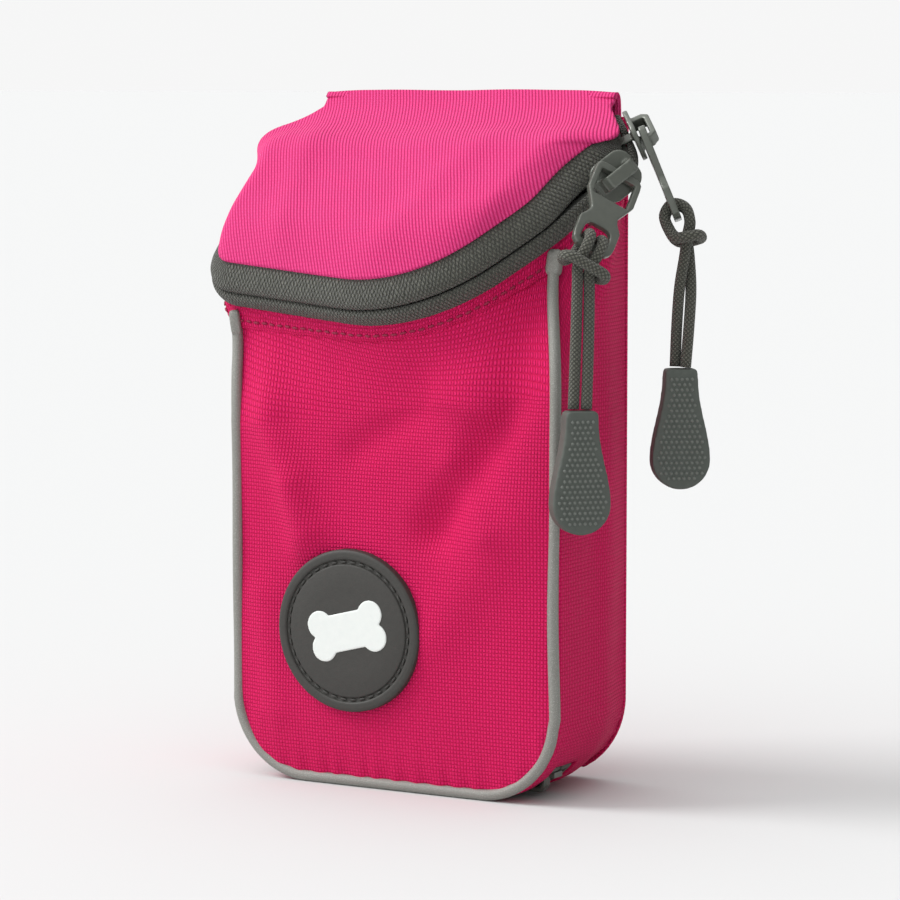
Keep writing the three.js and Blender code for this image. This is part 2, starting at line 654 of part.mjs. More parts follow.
// The cords, each one length of cord passed through its tab's eye as a loop, with both ends in a grip.
// The loop's points are (along the tab, down it, out of its face) from the middle of the eye's bar.
const HITCH = [
  [-1.35, 5, 0.4], [-1.5, 2, 2.2], [-1.5, -1, 2.3], [-1.5, -2.7, 0.1], [-1.7, -1, -2.4],
  [-2.2, 2, -2.6], [-3.8, 4.6, -1.8], [-5, 5.4, 0.4], [-4.2, 5.8, 2.5], [0, 6.1, 3.2],
];
// The legs' middle, as (x, y, z) from the middle between them where they leave the loop.
const LEGS = {
  front: { middle: [[1.4, -4.2, -29.6], [0.9, -2.6, -20], [0.3, -1, -11], [0, -0.2, -4]], turned: [0.88, 0.47] },
  rear: { middle: [[0, -3, -27.6], [0, -1.9, -19], [0, -0.8, -10.6], [0, -0.1, -4]], turned: [0.99, -0.14] },
};
const GRIP_FACE = { front: [0.707, -0.707], rear: [0.6, -0.8] };
const STRAND = 1.35; // from a leg to the middle of the two

function addCord(name, { eye, along, down, out }) {
  const onTab = ([a, b, c]) =>
    eye.clone().addScaledVector(along, a).addScaledVector(down, b).addScaledVector(out, c);
  const { middle, turned } = LEGS[name];
  const start = onTab([0, HITCH[0][1], HITCH[0][2]]);
  const level = new THREE.Vector3(turned[0], turned[1], 0).normalize();
  const leg = (side) => middle.map(([x, y, z], i) => {
    const apart = along.clone().lerp(level, 1 - i / middle.length).normalize();
    return start.clone().add(new THREE.Vector3(x, y, z)).addScaledVector(apart, side * STRAND);
  });
  const left = HITCH.map(onTab);
  const right = HITCH.slice(0, -1).map(([a, b, c]) => onTab([-a, b, c]));
  const points = [...leg(-1), ...left, ...right.reverse(), ...leg(1).reverse()];
  add(`cord_${name}`, ringedTube(points, CORD_R, 8, 76), "cord");
  const [nx, ny] = GRIP_FACE[name];
  const front = new THREE.Vector3(-nx, -ny, 0).normalize();
  const up = new THREE.Vector3(0, 0, 1);
  const width = new THREE.Vector3().crossVectors(front, up).normalize();
  const top = start.clone().add(new THREE.Vector3(...middle[0])).addScaledVector(up, -GAP);
  add(`grip_${name}`, placed(grip(), width, front, up, top), "rubber", 0.7);
}

// A grip, pear-shaped: its top at the origin, hanging along -Z, its faces along Y.
function grip() {
  const { length, top, bulb, thick } = GRIP;
  const shape = new THREE.Shape();
  const middle = -length + bulb / 2;
  shape.moveTo(-top / 2 + 1, 0);
  shape.lineTo(top / 2 - 1, 0);
  shape.quadraticCurveTo(top / 2, 0, top / 2, -1);
  shape.bezierCurveTo(top / 2, -9, bulb / 2, middle + 6, bulb / 2, middle);
  shape.absarc(0, middle, bulb / 2, 0, -Math.PI, true);
  shape.bezierCurveTo(-bulb / 2, middle + 6, -top / 2, -9, -top / 2, -1);
  shape.quadraticCurveTo(-top / 2, 0, -top / 2 + 1, 0);
  return plate(shape, -thick / 2, thick / 2, 8);
}

// The bottom zip's slider hangs under its tapes, with its tab lying flat under the base.
function addPocketSlider() {
  const down = new THREE.Vector3(0, 0, -1);
  const track = new THREE.Vector3(1, 0, 0);
  const across = new THREE.Vector3().crossVectors(down, track);
  const origin = new THREE.Vector3(POCKET_SLIDER_X, POCKET_ZIP_Y, POCKET_RECESS);
  const depth = TAPE + GAP + COIL + GAP + POCKET_SLIDER.plate / 2;
  const body = slider(POCKET_SLIDER, 0, depth);
  add("pocket_slider", placed(body, track, across, down, origin), "metal", 0.4, 0.7);
  const bar = origin.clone()
    .addScaledVector(down, 0.4 + POCKET_SLIDER.plate + POCKET_SLIDER.bridgeWindow / 2)
    .addScaledVector(track, 0.4);
  const tab = pullTab(POCKET_PULL);
  add("pocket_pull", placed(tab, across, down, track, bar), "metal", 0.4, 0.7);
}

// A stop across both bottom tapes, at the right or left end.
function pocketStop(side) {
  const near = POCKET_SLIDER_X + POCKET_SLIDER.length / 2 + GAP;
  const x0 = Math.min(side * near, side * (near + 1.2));
  return box(x0, x0 + 1.2, POCKET_ZIP_Y - 1.8, POCKET_ZIP_Y + 1.8, POCKET_RECESS - GAP - 1.2, POCKET_RECESS - GAP);
}

// The badge, sewn to the front panel
function badge() {
  const disc = new THREE.CylinderGeometry(BADGE_R, BADGE_R - 0.5, BADGE_THICK, 40);
  disc.translate(BADGE_X, FRONT_Y - GAP - BADGE_THICK / 2, BADGE_Z);
  return disc;
}

// A plain bone shape, raised on the badge.
function emblem() {
  const shape = new THREE.Shape();
  const half = 6.5;
  const knob = 3.1;
  shape.absarc(half, knob * 0.82, knob, -2.2, 2.6, false);
  shape.absarc(-half, knob * 0.82, knob, 0.54, 5.34, false);
  shape.absarc(-half, -knob * 0.82, knob, 0.94, 5.74, false);
  shape.absarc(half, -knob * 0.82, knob, -2.6, 2.2, false);
  const raised = new THREE.ExtrudeGeometry(shape, { depth: 0.8, bevelEnabled: false, curveSegments: 10 });
  raised.rotateZ(radians(14));
  raised.rotateX(Math.PI / 2);
  raised.translate(BADGE_X, FRONT_Y - GAP * 2 - BADGE_THICK, BADGE_Z);
  return raised;
}

// Webbing loop on the back: both ends sewn flat to the back panel, bowed out between.
function beltLoop() {
  const y0 = BACK_Y + GAP;
  const y1 = y0 + LOOP_GAP;
  const sewn = 9;
  const rise = 5;
  const side = [
    [y0, LOOP_BOTTOM], [y0, LOOP_BOTTOM + sewn], [y1, LOOP_BOTTOM + sewn + rise],
    [y1, LOOP_TOP - sewn - rise], [y0, LOOP_TOP - sewn], [y0, LOOP_TOP],
  ];
  const outer = [
    [y0 + WEBBING, LOOP_TOP], [y0 + WEBBING, LOOP_TOP - sewn + 1],
    [y1 + WEBBING, LOOP_TOP - sewn - rise + 1], [y1 + WEBBING, LOOP_BOTTOM + sewn + rise - 1],
    [y0 + WEBBING, LOOP_BOTTOM + sewn - 1], [y0 + WEBBING, LOOP_BOTTOM],
  ];
  const shape = new THREE.Shape([...side, ...outer].map(([y, z]) => new THREE.Vector2(y, z)));
  return alongX(shape, -LOOP_WIDTH / 2, LOOP_WIDTH / 2);
}

add("front_panel", frontPanel(), "pink");
add("side_gusset", sideGusset(), "pink");
add("back_panel", backPanel(), "pink");
add("back_stiffener", backStiffener(), "plastic", 0.6);
add("inner_lining", innerLining(), "lining");
add("zip_facing", zipFacing(), "pink");
add("front_piping", piping(), "piping", 0.5);
add("zip_tape_lower", lowerTape(), "tape");
add("zip_coil_lower", lowerCoil(), "coil", 0.5);
add("zip_stop_right", zipStop(1), "metal", 0.5);
add("zip_stop_left", zipStop(-1), "metal", 0.5);
add("zip_tape_upper", upperTape(), "tape");
add("zip_coil_upper", upperCoil(), "coil", 0.5);
add("lid_panel", lidPanel(), "pink");
add("lid_stiffener", lidStiffener(), "plastic", 0.6);
add("lid_lining", lidLining(), "lining");
add("pocket_tape_front", pocketTape(-1), "tape");
add("pocket_tape_rear", pocketTape(1), "tape");
add("pocket_coil_front", pocketCoil(-1), "coil", 0.5);
add("pocket_coil_rear", pocketCoil(1), "coil", 0.5);
add("pocket_stop_right", pocketStop(1), "metal", 0.5);
add("pocket_stop_left", pocketStop(-1), "metal", 0.5);
addPocketSlider();
for (const name of ["front", "rear"]) addCord(name, addSlider(name));
add("badge", badge(), "badge", 0.6);
add("badge_emblem", emblem(), "emblem", 0.6);
add("belt_loop", beltLoop(), "pink");

export default pouch;
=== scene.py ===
import json
import math

import bpy
from mathutils import Matrix, Vector, noise


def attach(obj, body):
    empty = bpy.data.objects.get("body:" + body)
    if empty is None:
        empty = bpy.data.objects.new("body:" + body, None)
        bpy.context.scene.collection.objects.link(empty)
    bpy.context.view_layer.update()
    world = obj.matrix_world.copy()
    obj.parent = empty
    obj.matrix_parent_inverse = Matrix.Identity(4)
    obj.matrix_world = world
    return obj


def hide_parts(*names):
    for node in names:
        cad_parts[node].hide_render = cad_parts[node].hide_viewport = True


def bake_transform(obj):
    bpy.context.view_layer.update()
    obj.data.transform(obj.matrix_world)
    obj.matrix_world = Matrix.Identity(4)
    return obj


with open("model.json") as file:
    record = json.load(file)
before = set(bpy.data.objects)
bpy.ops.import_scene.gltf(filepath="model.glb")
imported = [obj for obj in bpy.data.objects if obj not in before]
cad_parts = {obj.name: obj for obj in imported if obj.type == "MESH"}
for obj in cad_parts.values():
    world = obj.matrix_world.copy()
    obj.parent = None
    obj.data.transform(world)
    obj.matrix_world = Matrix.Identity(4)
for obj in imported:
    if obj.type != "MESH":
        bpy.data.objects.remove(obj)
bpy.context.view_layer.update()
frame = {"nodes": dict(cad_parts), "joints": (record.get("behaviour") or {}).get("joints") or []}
MM = 0.001

# The camera stands well back to the right of the front, a little above the middle of the pouch.
AIM = Vector((3.5, 2.0, 73.0)) * MM
AZIMUTH, PITCH = math.radians(30), math.radians(5.8)
STAND_BACK, LENS = 0.81, 147.4
toward = Vector((math.sin(AZIMUTH) * math.cos(PITCH), -math.cos(AZIMUTH) * math.cos(PITCH), math.sin(PITCH)))
bpy.ops.object.camera_add(location=AIM + toward * STAND_BACK)
camera = bpy.context.object
camera.rotation_euler = toward.to_track_quat("Z", "Y").to_euler()
camera.data.lens = LENS
bpy.context.scene.camera = camera
bpy.context.scene.view_settings.view_transform = "Standard"


# The two pull cords: dark green-grey braid, looped through each tab's eye with both legs going down
# into a grip. Each is one length, so its route runs up one leg, round the loop and down the other.
CORD_R = 1.2
# Half the gap between a cord's two legs, and the way that each tab hangs down from its slider.
STRAND = 1.35
HANG = {"front": (0, -0.65, -0.76), "rear": (0.4, 0.03, -0.9)}
# The loop, as (along the tab, down it, out of its face) from the middle of the eye's bar.
HITCH = [
    (-1.35, 5, 0.4), (-1.5, 2, 2.2), (-1.5, -1, 2.3), (-1.5, -2.7, 0.1), (-1.7, -1, -2.4),
    (-2.2, 2, -2.6), (-3.8, 4.6, -1.8), (-5, 5.4, 0.4), (-4.2, 5.8, 2.5), (0, 6.1, 3.2),
]
# The legs' middle, as (x, y, z) from the middle between them where they leave the loop.
LEGS = {
    "front": ([(1.4, -4.2, -29.6), (0.9, -2.6, -20), (0.3, -1, -11), (0, -0.2, -4)], (0.88, 0.47)),
    "rear": ([(0, -3, -27.6), (0, -1.9, -19), (0, -0.8, -10.6), (0, -0.1, -4)], (0.99, -0.14)),
}


def tab_axes(name):
    """The middle of a tab's eye bar in millimetres, and its directions along, down and out of its face."""
    joint = next(j for j in frame["joints"] if j["name"] == f"cord_{name}_swing")
    along = -Vector(joint["axis"])
    down = Vector(HANG[name]).normalized()
    return Vector(joint["pos_m"]) / MM, along, down, down.cross(along)


def cord_points(name):
    """The spots that a cord runs through, end to end, and the middle of its two ends in the grip."""
    eye, along, down, out = tab_axes(name)

    def on_tab(a, b, c):
        return eye + along * a + down * b + out * c

    middle, turned = LEGS[name]
    start = on_tab(0, HITCH[0][1], HITCH[0][2])
    level = Vector((*turned, 0)).normalized()

    def leg(side):
        spots = []
        for i, place in enumerate(middle):
            apart = along.lerp(level, 1 - i / len(middle)).normalized()
            spots.append(start + Vector(place) + apart * side * STRAND)
        return spots

    left = [on_tab(*spot) for spot in HITCH]
    right = [on_tab(-a, b, c) for a, b, c in HITCH[:-1]]
    return leg(-1) + left + right[::-1] + leg(1)[::-1], start + Vector(middle[0])


def smooth_route(points, between):
    """A curve through the points, with so many steps between each two."""
    ends = [points[0] * 2 - points[1], *points, points[-1] * 2 - points[-2]]
    route = []
    for a, b, c, d in zip(ends, ends[1:], ends[2:], ends[3:]):
        g, h, k = ((q - p).length ** 0.5 for p, q in ((a, b), (b, c), (c, d)))
        lead = ((b - a) / g - (c - a) / (g + h) + (c - b) / h) * h
        trail = ((c - b) / h - (d - b) / (h + k) + (d - c) / k) * h
        for step in range(between):
            t = step / between
            route.append(
                b * (2 * t**3 - 3 * t**2 + 1) + lead * (t**3 - 2 * t**2 + t)
                + c * (3 * t**2 - 2 * t**3) + trail * (t**3 - t**2)
            )
    return [*route, points[-1]]


def edit(piece, *steps):
    """Runs edit-mode operators on everything in one piece."""
    bpy.ops.object.select_all(action="DESELECT")
    piece.select_set(True)
    bpy.context.view_layer.objects.active = piece
    bpy.ops.object.mode_set(mode="EDIT")
    bpy.ops.mesh.select_all(action="SELECT")
    for step in steps:
        step()
    bpy.ops.object.mode_set(mode="OBJECT")


def laid(name, across, up, place):
    """A sheet of cloth or skin: place(a, b) gives each spot, in millimetres, and its thread count place."""
    bpy.ops.object.select_all(action="DESELECT")
    bpy.ops.mesh.primitive_grid_add(x_subdivisions=across, y_subdivisions=up, size=2)
    piece = bpy.context.object
    piece.name = piece.data.name = name
    spots = [place((v.co.x + 1) / 2, (v.co.y + 1) / 2) for v in piece.data.vertices]
    threads = piece.data.uv_layers.active.data
    for loop in piece.data.loops:
        threads[loop.index].uv = Vector(spots[loop.vertex_index][1]) * MM
    for vertex, (spot, _) in zip(piece.data.vertices, spots):
        vertex.co = Vector(spot) * MM
    bpy.ops.object.shade_smooth()
    return piece


def closed(piece):
    """Joins a sheet's two edges where they meet and fills its open ends."""
    edit(
        piece,
        lambda: bpy.ops.mesh.remove_doubles(threshold=1e-6),
        lambda: bpy.ops.mesh.fill_holes(sides=0),
        lambda: bpy.ops.mesh.normals_make_consistent(inside=False),
    )
    return piece


def tube(name, route, radius, sides=14):
    """A closed round tube along a route, with its thread place running round it and along it."""
    run = [0]
    for a, b in zip(route, route[1:]):
        run.append(run[-1] + (b - a).length)
    ahead = (route[1] - route[0]).normalized()
    side = ahead.orthogonal().normalized()
    rings = []
    for i, spot in enumerate(route):
        nxt = route[min(i + 1, len(route) - 1)] - route[max(i - 1, 0)]
        side = (side - nxt * (side.dot(nxt) / nxt.length_squared)).normalized()
        rings.append((spot, side.copy(), nxt.normalized().cross(side)))
    last = len(route) - 1

    def place(a, b):
        ring = round(b * last)
        spot, u, w = rings[ring]
        turn = -a * math.tau
        return spot + (u * math.cos(turn) + w * math.sin(turn)) * radius, (a * math.tau * radius, run[ring])

    return closed(laid(name, sides, last, place))


class Wire:
    """A value in a shader, so that sums are written as plain expressions."""

    def __init__(self, finish, socket):
        self.finish, self.socket = finish, socket

    def sum(self, operation, *others):
        return self.finish.node("ShaderNodeMath", {"operation": operation}, [self, *others])

    def __add__(self, other):
        return self.sum("ADD", other)

    __radd__ = __add__

    def __sub__(self, other):
        return self.sum("SUBTRACT", other)

    def __rsub__(self, other):
        return self.finish.node("ShaderNodeMath", {"operation": "SUBTRACT"}, [other, self])

    def __mul__(self, other):
        return self.sum("MULTIPLY", other)

    __rmul__ = __mul__

    def __abs__(self):
        return self.sum("ABSOLUTE")

    def wave(self, pitch, shift=0.0):
        """Rises and falls through nought once in each pitch."""
        return (self * (math.pi / pitch) + shift).sum("SINE")

    def held(self):
        return self.finish.node("ShaderNodeClamp", {}, [self])


class Finish:
    """A material of this pouch, with its principled shader and what feeds it."""

    def __init__(self, name, roughness=0.8, **fixed):
        self.material = bpy.data.materials.new(name)
        self.material.use_nodes = True
        self.tree = self.material.node_tree
        self.shader = self.tree.nodes["Principled BSDF"]
        self.shader.inputs["Roughness"].default_value = roughness
        for key, value in fixed.items():
            self.shader.inputs[key.replace("_", " ")].default_value = value

    def node(self, kind, settings, inputs, output=0):
        node = self.tree.nodes.new(kind)
        for key, value in settings.items():
            if key == "stops":
                for i, (at, colour) in enumerate(value):
                    stop = node.color_ramp.elements[i] if i < 2 else node.color_ramp.elements.new(at)
                    stop.position, stop.color = at, colour
            else:
                setattr(node, key, value)
        pairs = inputs.items() if isinstance(inputs, dict) else enumerate(inputs)
        for key, value in pairs:
            if isinstance(value, Wire):
                self.tree.links.new(value.socket, node.inputs[key])
            elif value is not None:
                node.inputs[key].default_value = value
        return Wire(self, node.outputs[output])

    def threads(self, source="UV"):
        """The place along a piece's own threads or, by Object, in the pouch, as three values in metres."""
        place = self.node("ShaderNodeTexCoord", {}, {}, source)
        parts = self.tree.nodes.new("ShaderNodeSeparateXYZ")
        self.tree.links.new(place.socket, parts.inputs[0])
        return [Wire(self, way) for way in parts.outputs]

    def grain(self, scale, detail=2.0):
        place = self.node("ShaderNodeTexCoord", {}, {}, "Object")
        return self.node("ShaderNodeTexNoise", {}, {"Vector": place, "Scale": scale, "Detail": detail})

    def blend(self, share, a, b):
        colours = {"Factor": share, 6: (*a, 1), 7: (*b, 1)}
        return self.node("ShaderNodeMix", {"data_type": "RGBA"}, colours, 2)

    def colour(self, wire):
        self.tree.links.new(wire.socket, self.shader.inputs["Base Color"])

    def relief(self, height, depth, strength=1.0):
        bump = self.node("ShaderNodeBump", {}, {"Height": height, "Distance": depth, "Strength": strength})
        self.tree.links.new(bump.socket, self.shader.inputs["Normal"])

    def on(self, piece, slot):
        piece.data.materials.clear()
        piece.data.materials.append(self.material)
        return piece


braid = Finish("cord braid", 0.85, Sheen_Weight=0.15)
round_it, along_it, _ = braid.threads()
strand = abs((round_it + along_it).wave(0.00094)) * abs((round_it - along_it).wave(0.00094))
# Painted shade and highlight: the braid is coloured dark in the grooves between its strands and light on
# their crowns, by the same height as its bump.
braid.colour(braid.blend(strand, (0.035, 0.036, 0.028), (0.15, 0.152, 0.12)))
braid.relief(strand, 0.00035)

cords, cord_routes, grip_tops = {}, {}, {}
for name in ("front", "rear"):
    points, grip_tops[name] = cord_points(name)
    cord_routes[name] = smooth_route(points, 6)
    cords[name] = braid.on(tube(f"pull_cord_{name}", cord_routes[name], CORD_R), "cord_braid")
    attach(cords[name], f"{name}_cord")
    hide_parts(f"cord_{name}")


# The grips: soft dark green-grey rubber, pear-shaped, with rounded edges and small raised dots on
# their faces inside a smooth border. The cord's ends are moulded in at the top.
rubber = Finish("grip rubber", 0.62)
rubber.colour(rubber.blend(rubber.grain(900), (0.062, 0.072, 0.062), (0.085, 0.098, 0.085)))
rubber.relief(rubber.grain(2600), 0.00004)
dot_rubber = Finish("grip dots", 0.55)
dot_rubber.colour(dot_rubber.blend(dot_rubber.grain(1500), (0.12, 0.135, 0.12), (0.17, 0.185, 0.165)))
GRIP_LENGTH, GRIP_TOP, GRIP_BULB, GRIP_THICK = 26, 7, 12.6, 4.4
GRIP_FACE = {"front": (0.707, -0.707), "rear": (0.6, -0.8)}
GRIP_TOP_GAP = 0.3
DOT_PITCH, DOT_R, DOT_BORDER = 1.12, 0.42, 1.1


def softened(name, node, voxel, rounds, slot, finish, body):
    """A moulded or cast piece: the frame's solid taken over and its edges rounded."""
    bpy.ops.object.select_all(action="DESELECT")
    piece = frame["nodes"][node].copy()
    piece.data = piece.data.copy()
    piece.name = piece.data.name = name
    piece.parent = None
    bpy.context.collection.objects.link(piece)
    edit(piece, lambda: bpy.ops.mesh.remove_doubles(threshold=1e-6))
    remesh = piece.modifiers.new("skin", "REMESH")
    remesh.mode, remesh.voxel_size = "VOXEL", voxel * MM
    smooth = piece.modifiers.new("round", "SMOOTH")
    smooth.factor, smooth.iterations = 0.5, rounds
    for modifier in ("skin", "round"):
        bpy.ops.object.modifier_apply(modifier=modifier)
    bpy.ops.object.shade_smooth()
    finish.on(piece, slot)
    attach(piece, body)
    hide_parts(node)
    return piece


def grip_half_width(z):
    """Half a grip's width at a height below its top."""
    middle = GRIP_BULB / 2 - GRIP_LENGTH
    if z < middle:
        return math.sqrt(max((GRIP_BULB / 2) ** 2 - (z - middle) ** 2, 0))
    t = z / middle
    return GRIP_TOP / 2 + (GRIP_BULB - GRIP_TOP) / 2 * (t * t * (3 - 2 * t)) ** 1.4


def gathered(name, add_one, places):
    """One piece of many small alike ones: each is added by an operator and put in its place."""
    vertices, faces = [], []
    for place in places:
        bpy.ops.object.select_all(action="DESELECT")
        add_one()
        one = bpy.context.object
        one.data.transform(place)
        base = len(vertices)
        vertices += [v.co.copy() for v in one.data.vertices]
        faces += [[base + i for i in p.vertices] for p in one.data.polygons]
        bpy.data.objects.remove(one)
    mesh = bpy.data.meshes.new(name)
    mesh.from_pydata(vertices, [], faces)
    mesh.shade_smooth()
    piece = bpy.data.objects.new(name, mesh)
    bpy.context.collection.objects.link(piece)
    return piece


def dot_spots():
    """Where a grip's dots sit on both its faces, as (across, up from its top, which face)."""
    spots = []
    for row in range(2, int(GRIP_LENGTH / DOT_PITCH)):
        z = -row * DOT_PITCH
        reach = grip_half_width(z) - DOT_BORDER
        if z < 1.5 - GRIP_LENGTH or reach <= 0:
            continue
        shift = 0.5 if row % 2 else 0
        count = int(reach / DOT_PITCH) + 1
        for column in range(-count, count + 1):
            x = (column + shift) * DOT_PITCH
            if abs(x) < reach:
                spots += [(x, z, 1), (x, z, -1)]
    return spots


for name in ("front", "rear"):
    grip = softened(f"pull_grip_{name}", f"grip_{name}", 0.35, 8, "grip_rubber", rubber, f"{name}_cord")
    out = Vector((*GRIP_FACE[name], 0)).normalized()
    wide = Vector((0, 0, 1)).cross(out)
    top = grip_tops[name] - Vector((0, 0, GRIP_TOP_GAP))
    places = []
    for x, z, face in dot_spots():
        spot = top + wide * x + out * face * (GRIP_THICK / 2 - 0.02) + Vector((0, 0, z))
        places.append(Matrix.Translation(spot * MM))
    studs = gathered(
        f"grip_dots_{name}",
        lambda: bpy.ops.mesh.primitive_ico_sphere_add(subdivisions=1, radius=DOT_R * MM),
        places,
    )
    dot_rubber.on(studs, "grip_rubber")
    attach(studs, f"{name}_cord")
    route = cord_routes[name]
    cord_length = MM * sum((b - a).length for a, b in zip(route, route[1:]))
    tuple(route[0] * MM)
    [tuple(spot * MM) for spot in route]

# The rest of the pouch is built on the sloping parting surface through the lid's fold. A spot on it
# is (x, v, n): across, down the slope from the fold, and square to it. The slope twists a little, by
# SKEW degrees for each millimetre across.
FOLD_Y, FOLD_Z, SLOPE, SKEW = 17.5, 148, 46.3, 0.07
SIDE, REACH, REAR_V = 47.6, 58.9, 15


def on_slope(x, v, n=0.0):
    """A spot (x, v, n) as its place in the pouch."""
    a = math.radians(SLOPE - SKEW * x)
    return Vector((x, FOLD_Y - v * math.cos(a) - n * math.sin(a), FOLD_Z - v * math.sin(a) + n * math.cos(a)))


def slope_height(x, y, n):
    """The height of the surface n above the parting surface, at a place in plan."""
    a = math.radians(SLOPE - SKEW * x)
    v = (FOLD_Y - y - n * math.sin(a)) / math.cos(a)
    return FOLD_Z - v * math.sin(a) + n * math.cos(a)


def rounded_line(corners, radii, steps=14):
    """A line through corners (x, v) with round corners; each step is its place and its outward way."""
    points = [Vector(c) for c in corners]

    def outward(start, end):
        return Vector((end.y - start.y, start.x - end.x)).normalized()

    line = [(points[0], outward(points[0], points[1]))]
    for i, radius in enumerate(radii, 1):
        back = (points[i - 1] - points[i]).normalized()
        ahead = (points[i + 1] - points[i]).normalized()
        middle = (back + ahead).normalized()
        half = back.angle(ahead) / 2
        centre = points[i] + middle * (radius / math.sin(half))
        first, last = outward(points[i - 1], points[i]), outward(points[i], points[i + 1])
        turn = math.atan2(first.x * last.y - first.y * last.x, first.dot(last))
        for k in range(steps + 1):
            angle = turn * k / steps
            out = Vector((
                first.x * math.cos(angle) - first.y * math.sin(angle),
                first.x * math.sin(angle) + first.y * math.cos(angle),
            ))
            line.append((centre + out * radius, out))
    line.append((points[-1], outward(points[-2], points[-1])))
    return line


def walker(line):
    """Turns a line into a function of the share of its length walked."""
    run = [0.0]
    for (a, _), (b, _) in zip(line, line[1:]):
        run.append(run[-1] + (b - a).length)

    def at(share):
        goal = min(max(share, 0), 1) * run[-1]
        i = next((k for k in range(1, len(run)) if run[k] >= goal), len(run) - 1)
        t = (goal - run[i - 1]) / max(run[i] - run[i - 1], 1e-9)
        (a, p), (b, q) = line[i - 1], line[i]
        return a.lerp(b, t), p.lerp(q, t).normalized(), goal

    at.length = run[-1]
    return at


zip_line = walker(rounded_line(
    [
        (SIDE - 10.2, 1.4), (SIDE, REAR_V), (SIDE - 14.1, REACH - 20.5), (SIDE - 35.6, REACH + 4.5),
        (-SIDE - 2.9, REACH - 5.9), (-SIDE, REAR_V), (-SIDE + 10.2, 1.4),
    ],
    [9, 60, 38, 10, 9],
))


def ease(value, low, high):
    """Rises smoothly from nought at low to one at high."""
    t = min(max((value - low) / (high - low), 0), 1)
    return t * t * (3 - 2 * t)


# Towards the mouth the walls lean over to the zip. Each place on the walls goes up to the place on the
# zip that lies the same way from a heart near the right rear, which keeps the right corner upright.
HALF, FRONT_Y, BACK_Y, SHOULDER = 41, -18, 18, -19
HEART_X, HEART_Y = 28, 9
bearings = [
    (math.atan2(spot.x - HEART_X, HEART_Y - on_slope(spot.x, spot.y, -5).y), k / 400)
    for k in range(401) for spot in [zip_line(k / 400)[0]]
]


def share_towards(x, y):
    """The share of the zip's length that lies the same way from the heart as a place on the walls."""
    y += 4.5 * ease(-x, 15, 41) * ease(-y, -10, 14)
    goal = math.atan2(x - HEART_X, HEART_Y - y)
    for (a, s), (b, t) in zip(bearings, bearings[1:]):
        if min(a, b) <= goal <= max(a, b):
            return s + (t - s) * (goal - a) / (b - a or 1)
    return 0 if x > 0 else 1


def lip_spot(share, o=-1.0, n=-4.5):
    """A spot on the zip's lower lip, o out from the zip's line and n above the parting surface."""
    spot, out, _ = zip_line(share)
    return on_slope(spot.x + out.x * o, spot.y + out.y * o, n)


def lean_over(base, share, t):
    """A spot a share t of the way from the top of the wall to the zip's lip."""
    lip = lip_spot(share)
    reach = (lip - base).length
    _, out, _ = zip_line(share)
    rise = Vector((0, 0, reach))
    end = Vector((out.x * 0.35, -out.y * 0.3, 0.8)).normalized() * reach
    return (
        base * (2 * t**3 - 3 * t**2 + 1) + rise * (t**3 - 2 * t**2 + t)
        + lip * (3 * t**2 - 2 * t**3) + end * (t**3 - t**2)
    )


def through(marks, share):
    """A smooth section through marks (o, n), for a share of the way along them."""
    reach = share * (len(marks) - 1)
    i = min(int(reach), len(marks) - 2)
    t = reach - i
    a, b, c, d = (marks[min(max(i + k, 0), len(marks) - 1)] for k in (-1, 0, 1, 2))
    return [
        0.5 * (2 * b[k] + (c[k] - a[k]) * t + (2 * a[k] - 5 * b[k] + 4 * c[k] - d[k]) * t * t
               + (3 * b[k] - a[k] - 3 * c[k] + d[k]) * t ** 3)
        for k in (0, 1)
    ]


def along_zip(marks, lid=False):
    """The place function of a strip that follows the zip, its section marks from bottom to top."""

    def place(a, b):
        spot, out, run = zip_line(1 - a)
        section = marks(spot) if callable(marks) else marks
        o, n = through(section, b)
        v = spot.y + out.y * o
        if lid:
            n *= 0.45 + 0.55 * ease(v, 0, 18)
        wide = sum(math.dist(p, q) for p, q in zip(section, section[1:]))
        return on_slope(spot.x + out.x * o, v, n), (run, b * wide)

    return place


def thicken(piece, depth):
    """Gives a sheet its thickness, on the inside of its face."""
    bpy.context.view_layer.objects.active = piece
    wall = piece.modifiers.new("thickness", "SOLIDIFY")
    wall.thickness, wall.offset = depth * MM, -1
    bpy.ops.object.modifier_apply(modifier="thickness")


# The zip's two tapes: olive-grey knitted nylon. The lower one stands on the mouth, the upper one is
# sewn round the lid and leans in over the pouch. Their coils are inside, so only the groove shows.
tape_finish = Finish("zip tape", 0.75, Sheen_Weight=0.2)
along_tape, up_tape, _ = tape_finish.threads()
uneven = (tape_finish.grain(900, 2.0) - 0.5) * 0.0007
run, rise = along_tape + uneven, up_tape + uneven
knit = abs((run + rise * 0.7).wave(0.00095)) * abs((run - rise * 0.7).wave(0.00095))
flecks = ((tape_finish.grain(1500, 2.0) - 0.45) * 2.2).held() * 0.4
# Painted highlight and shade: the knit is coloured light on its loops and dark between them, by the same
# height as its bump; the flecks are lighter threads.
light = (knit * 0.6 + flecks).held()
tape_finish.colour(tape_finish.blend(light, (0.030, 0.031, 0.023), (0.17, 0.173, 0.135)))
tape_finish.relief(knit, 0.0006)


def upper_section(spot):
    """The upper tape's section marks (o, n). It leans in further towards the front."""
    back = 0.7 + 1.9 * (1 - ease(spot.y, 26, 38)) * (1 if spot.x > 0 else 0)
    lean = ease(spot.y, 9, 22)
    reach = 1.6 + 5.2 * lean
    return [
        (-back, 0.45), (-back - 0.5, 1.9), (-back - 0.35 - reach * 0.28, 3.3 + 0.5 * lean),
        (-back - reach * 0.68, 4.4 + 0.9 * lean), (-back - reach, 4.6 + 1.6 * lean),
        (-back - reach - 0.5, 3.8 + 1.6 * lean),
    ]


upper = laid("lid_zip_tape", 220, 12, along_zip(upper_section, lid=True))
thicken(upper, 0.8)
tape_finish.on(upper, "zip_tape")
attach(upper, "lid")
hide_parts("zip_tape_upper")

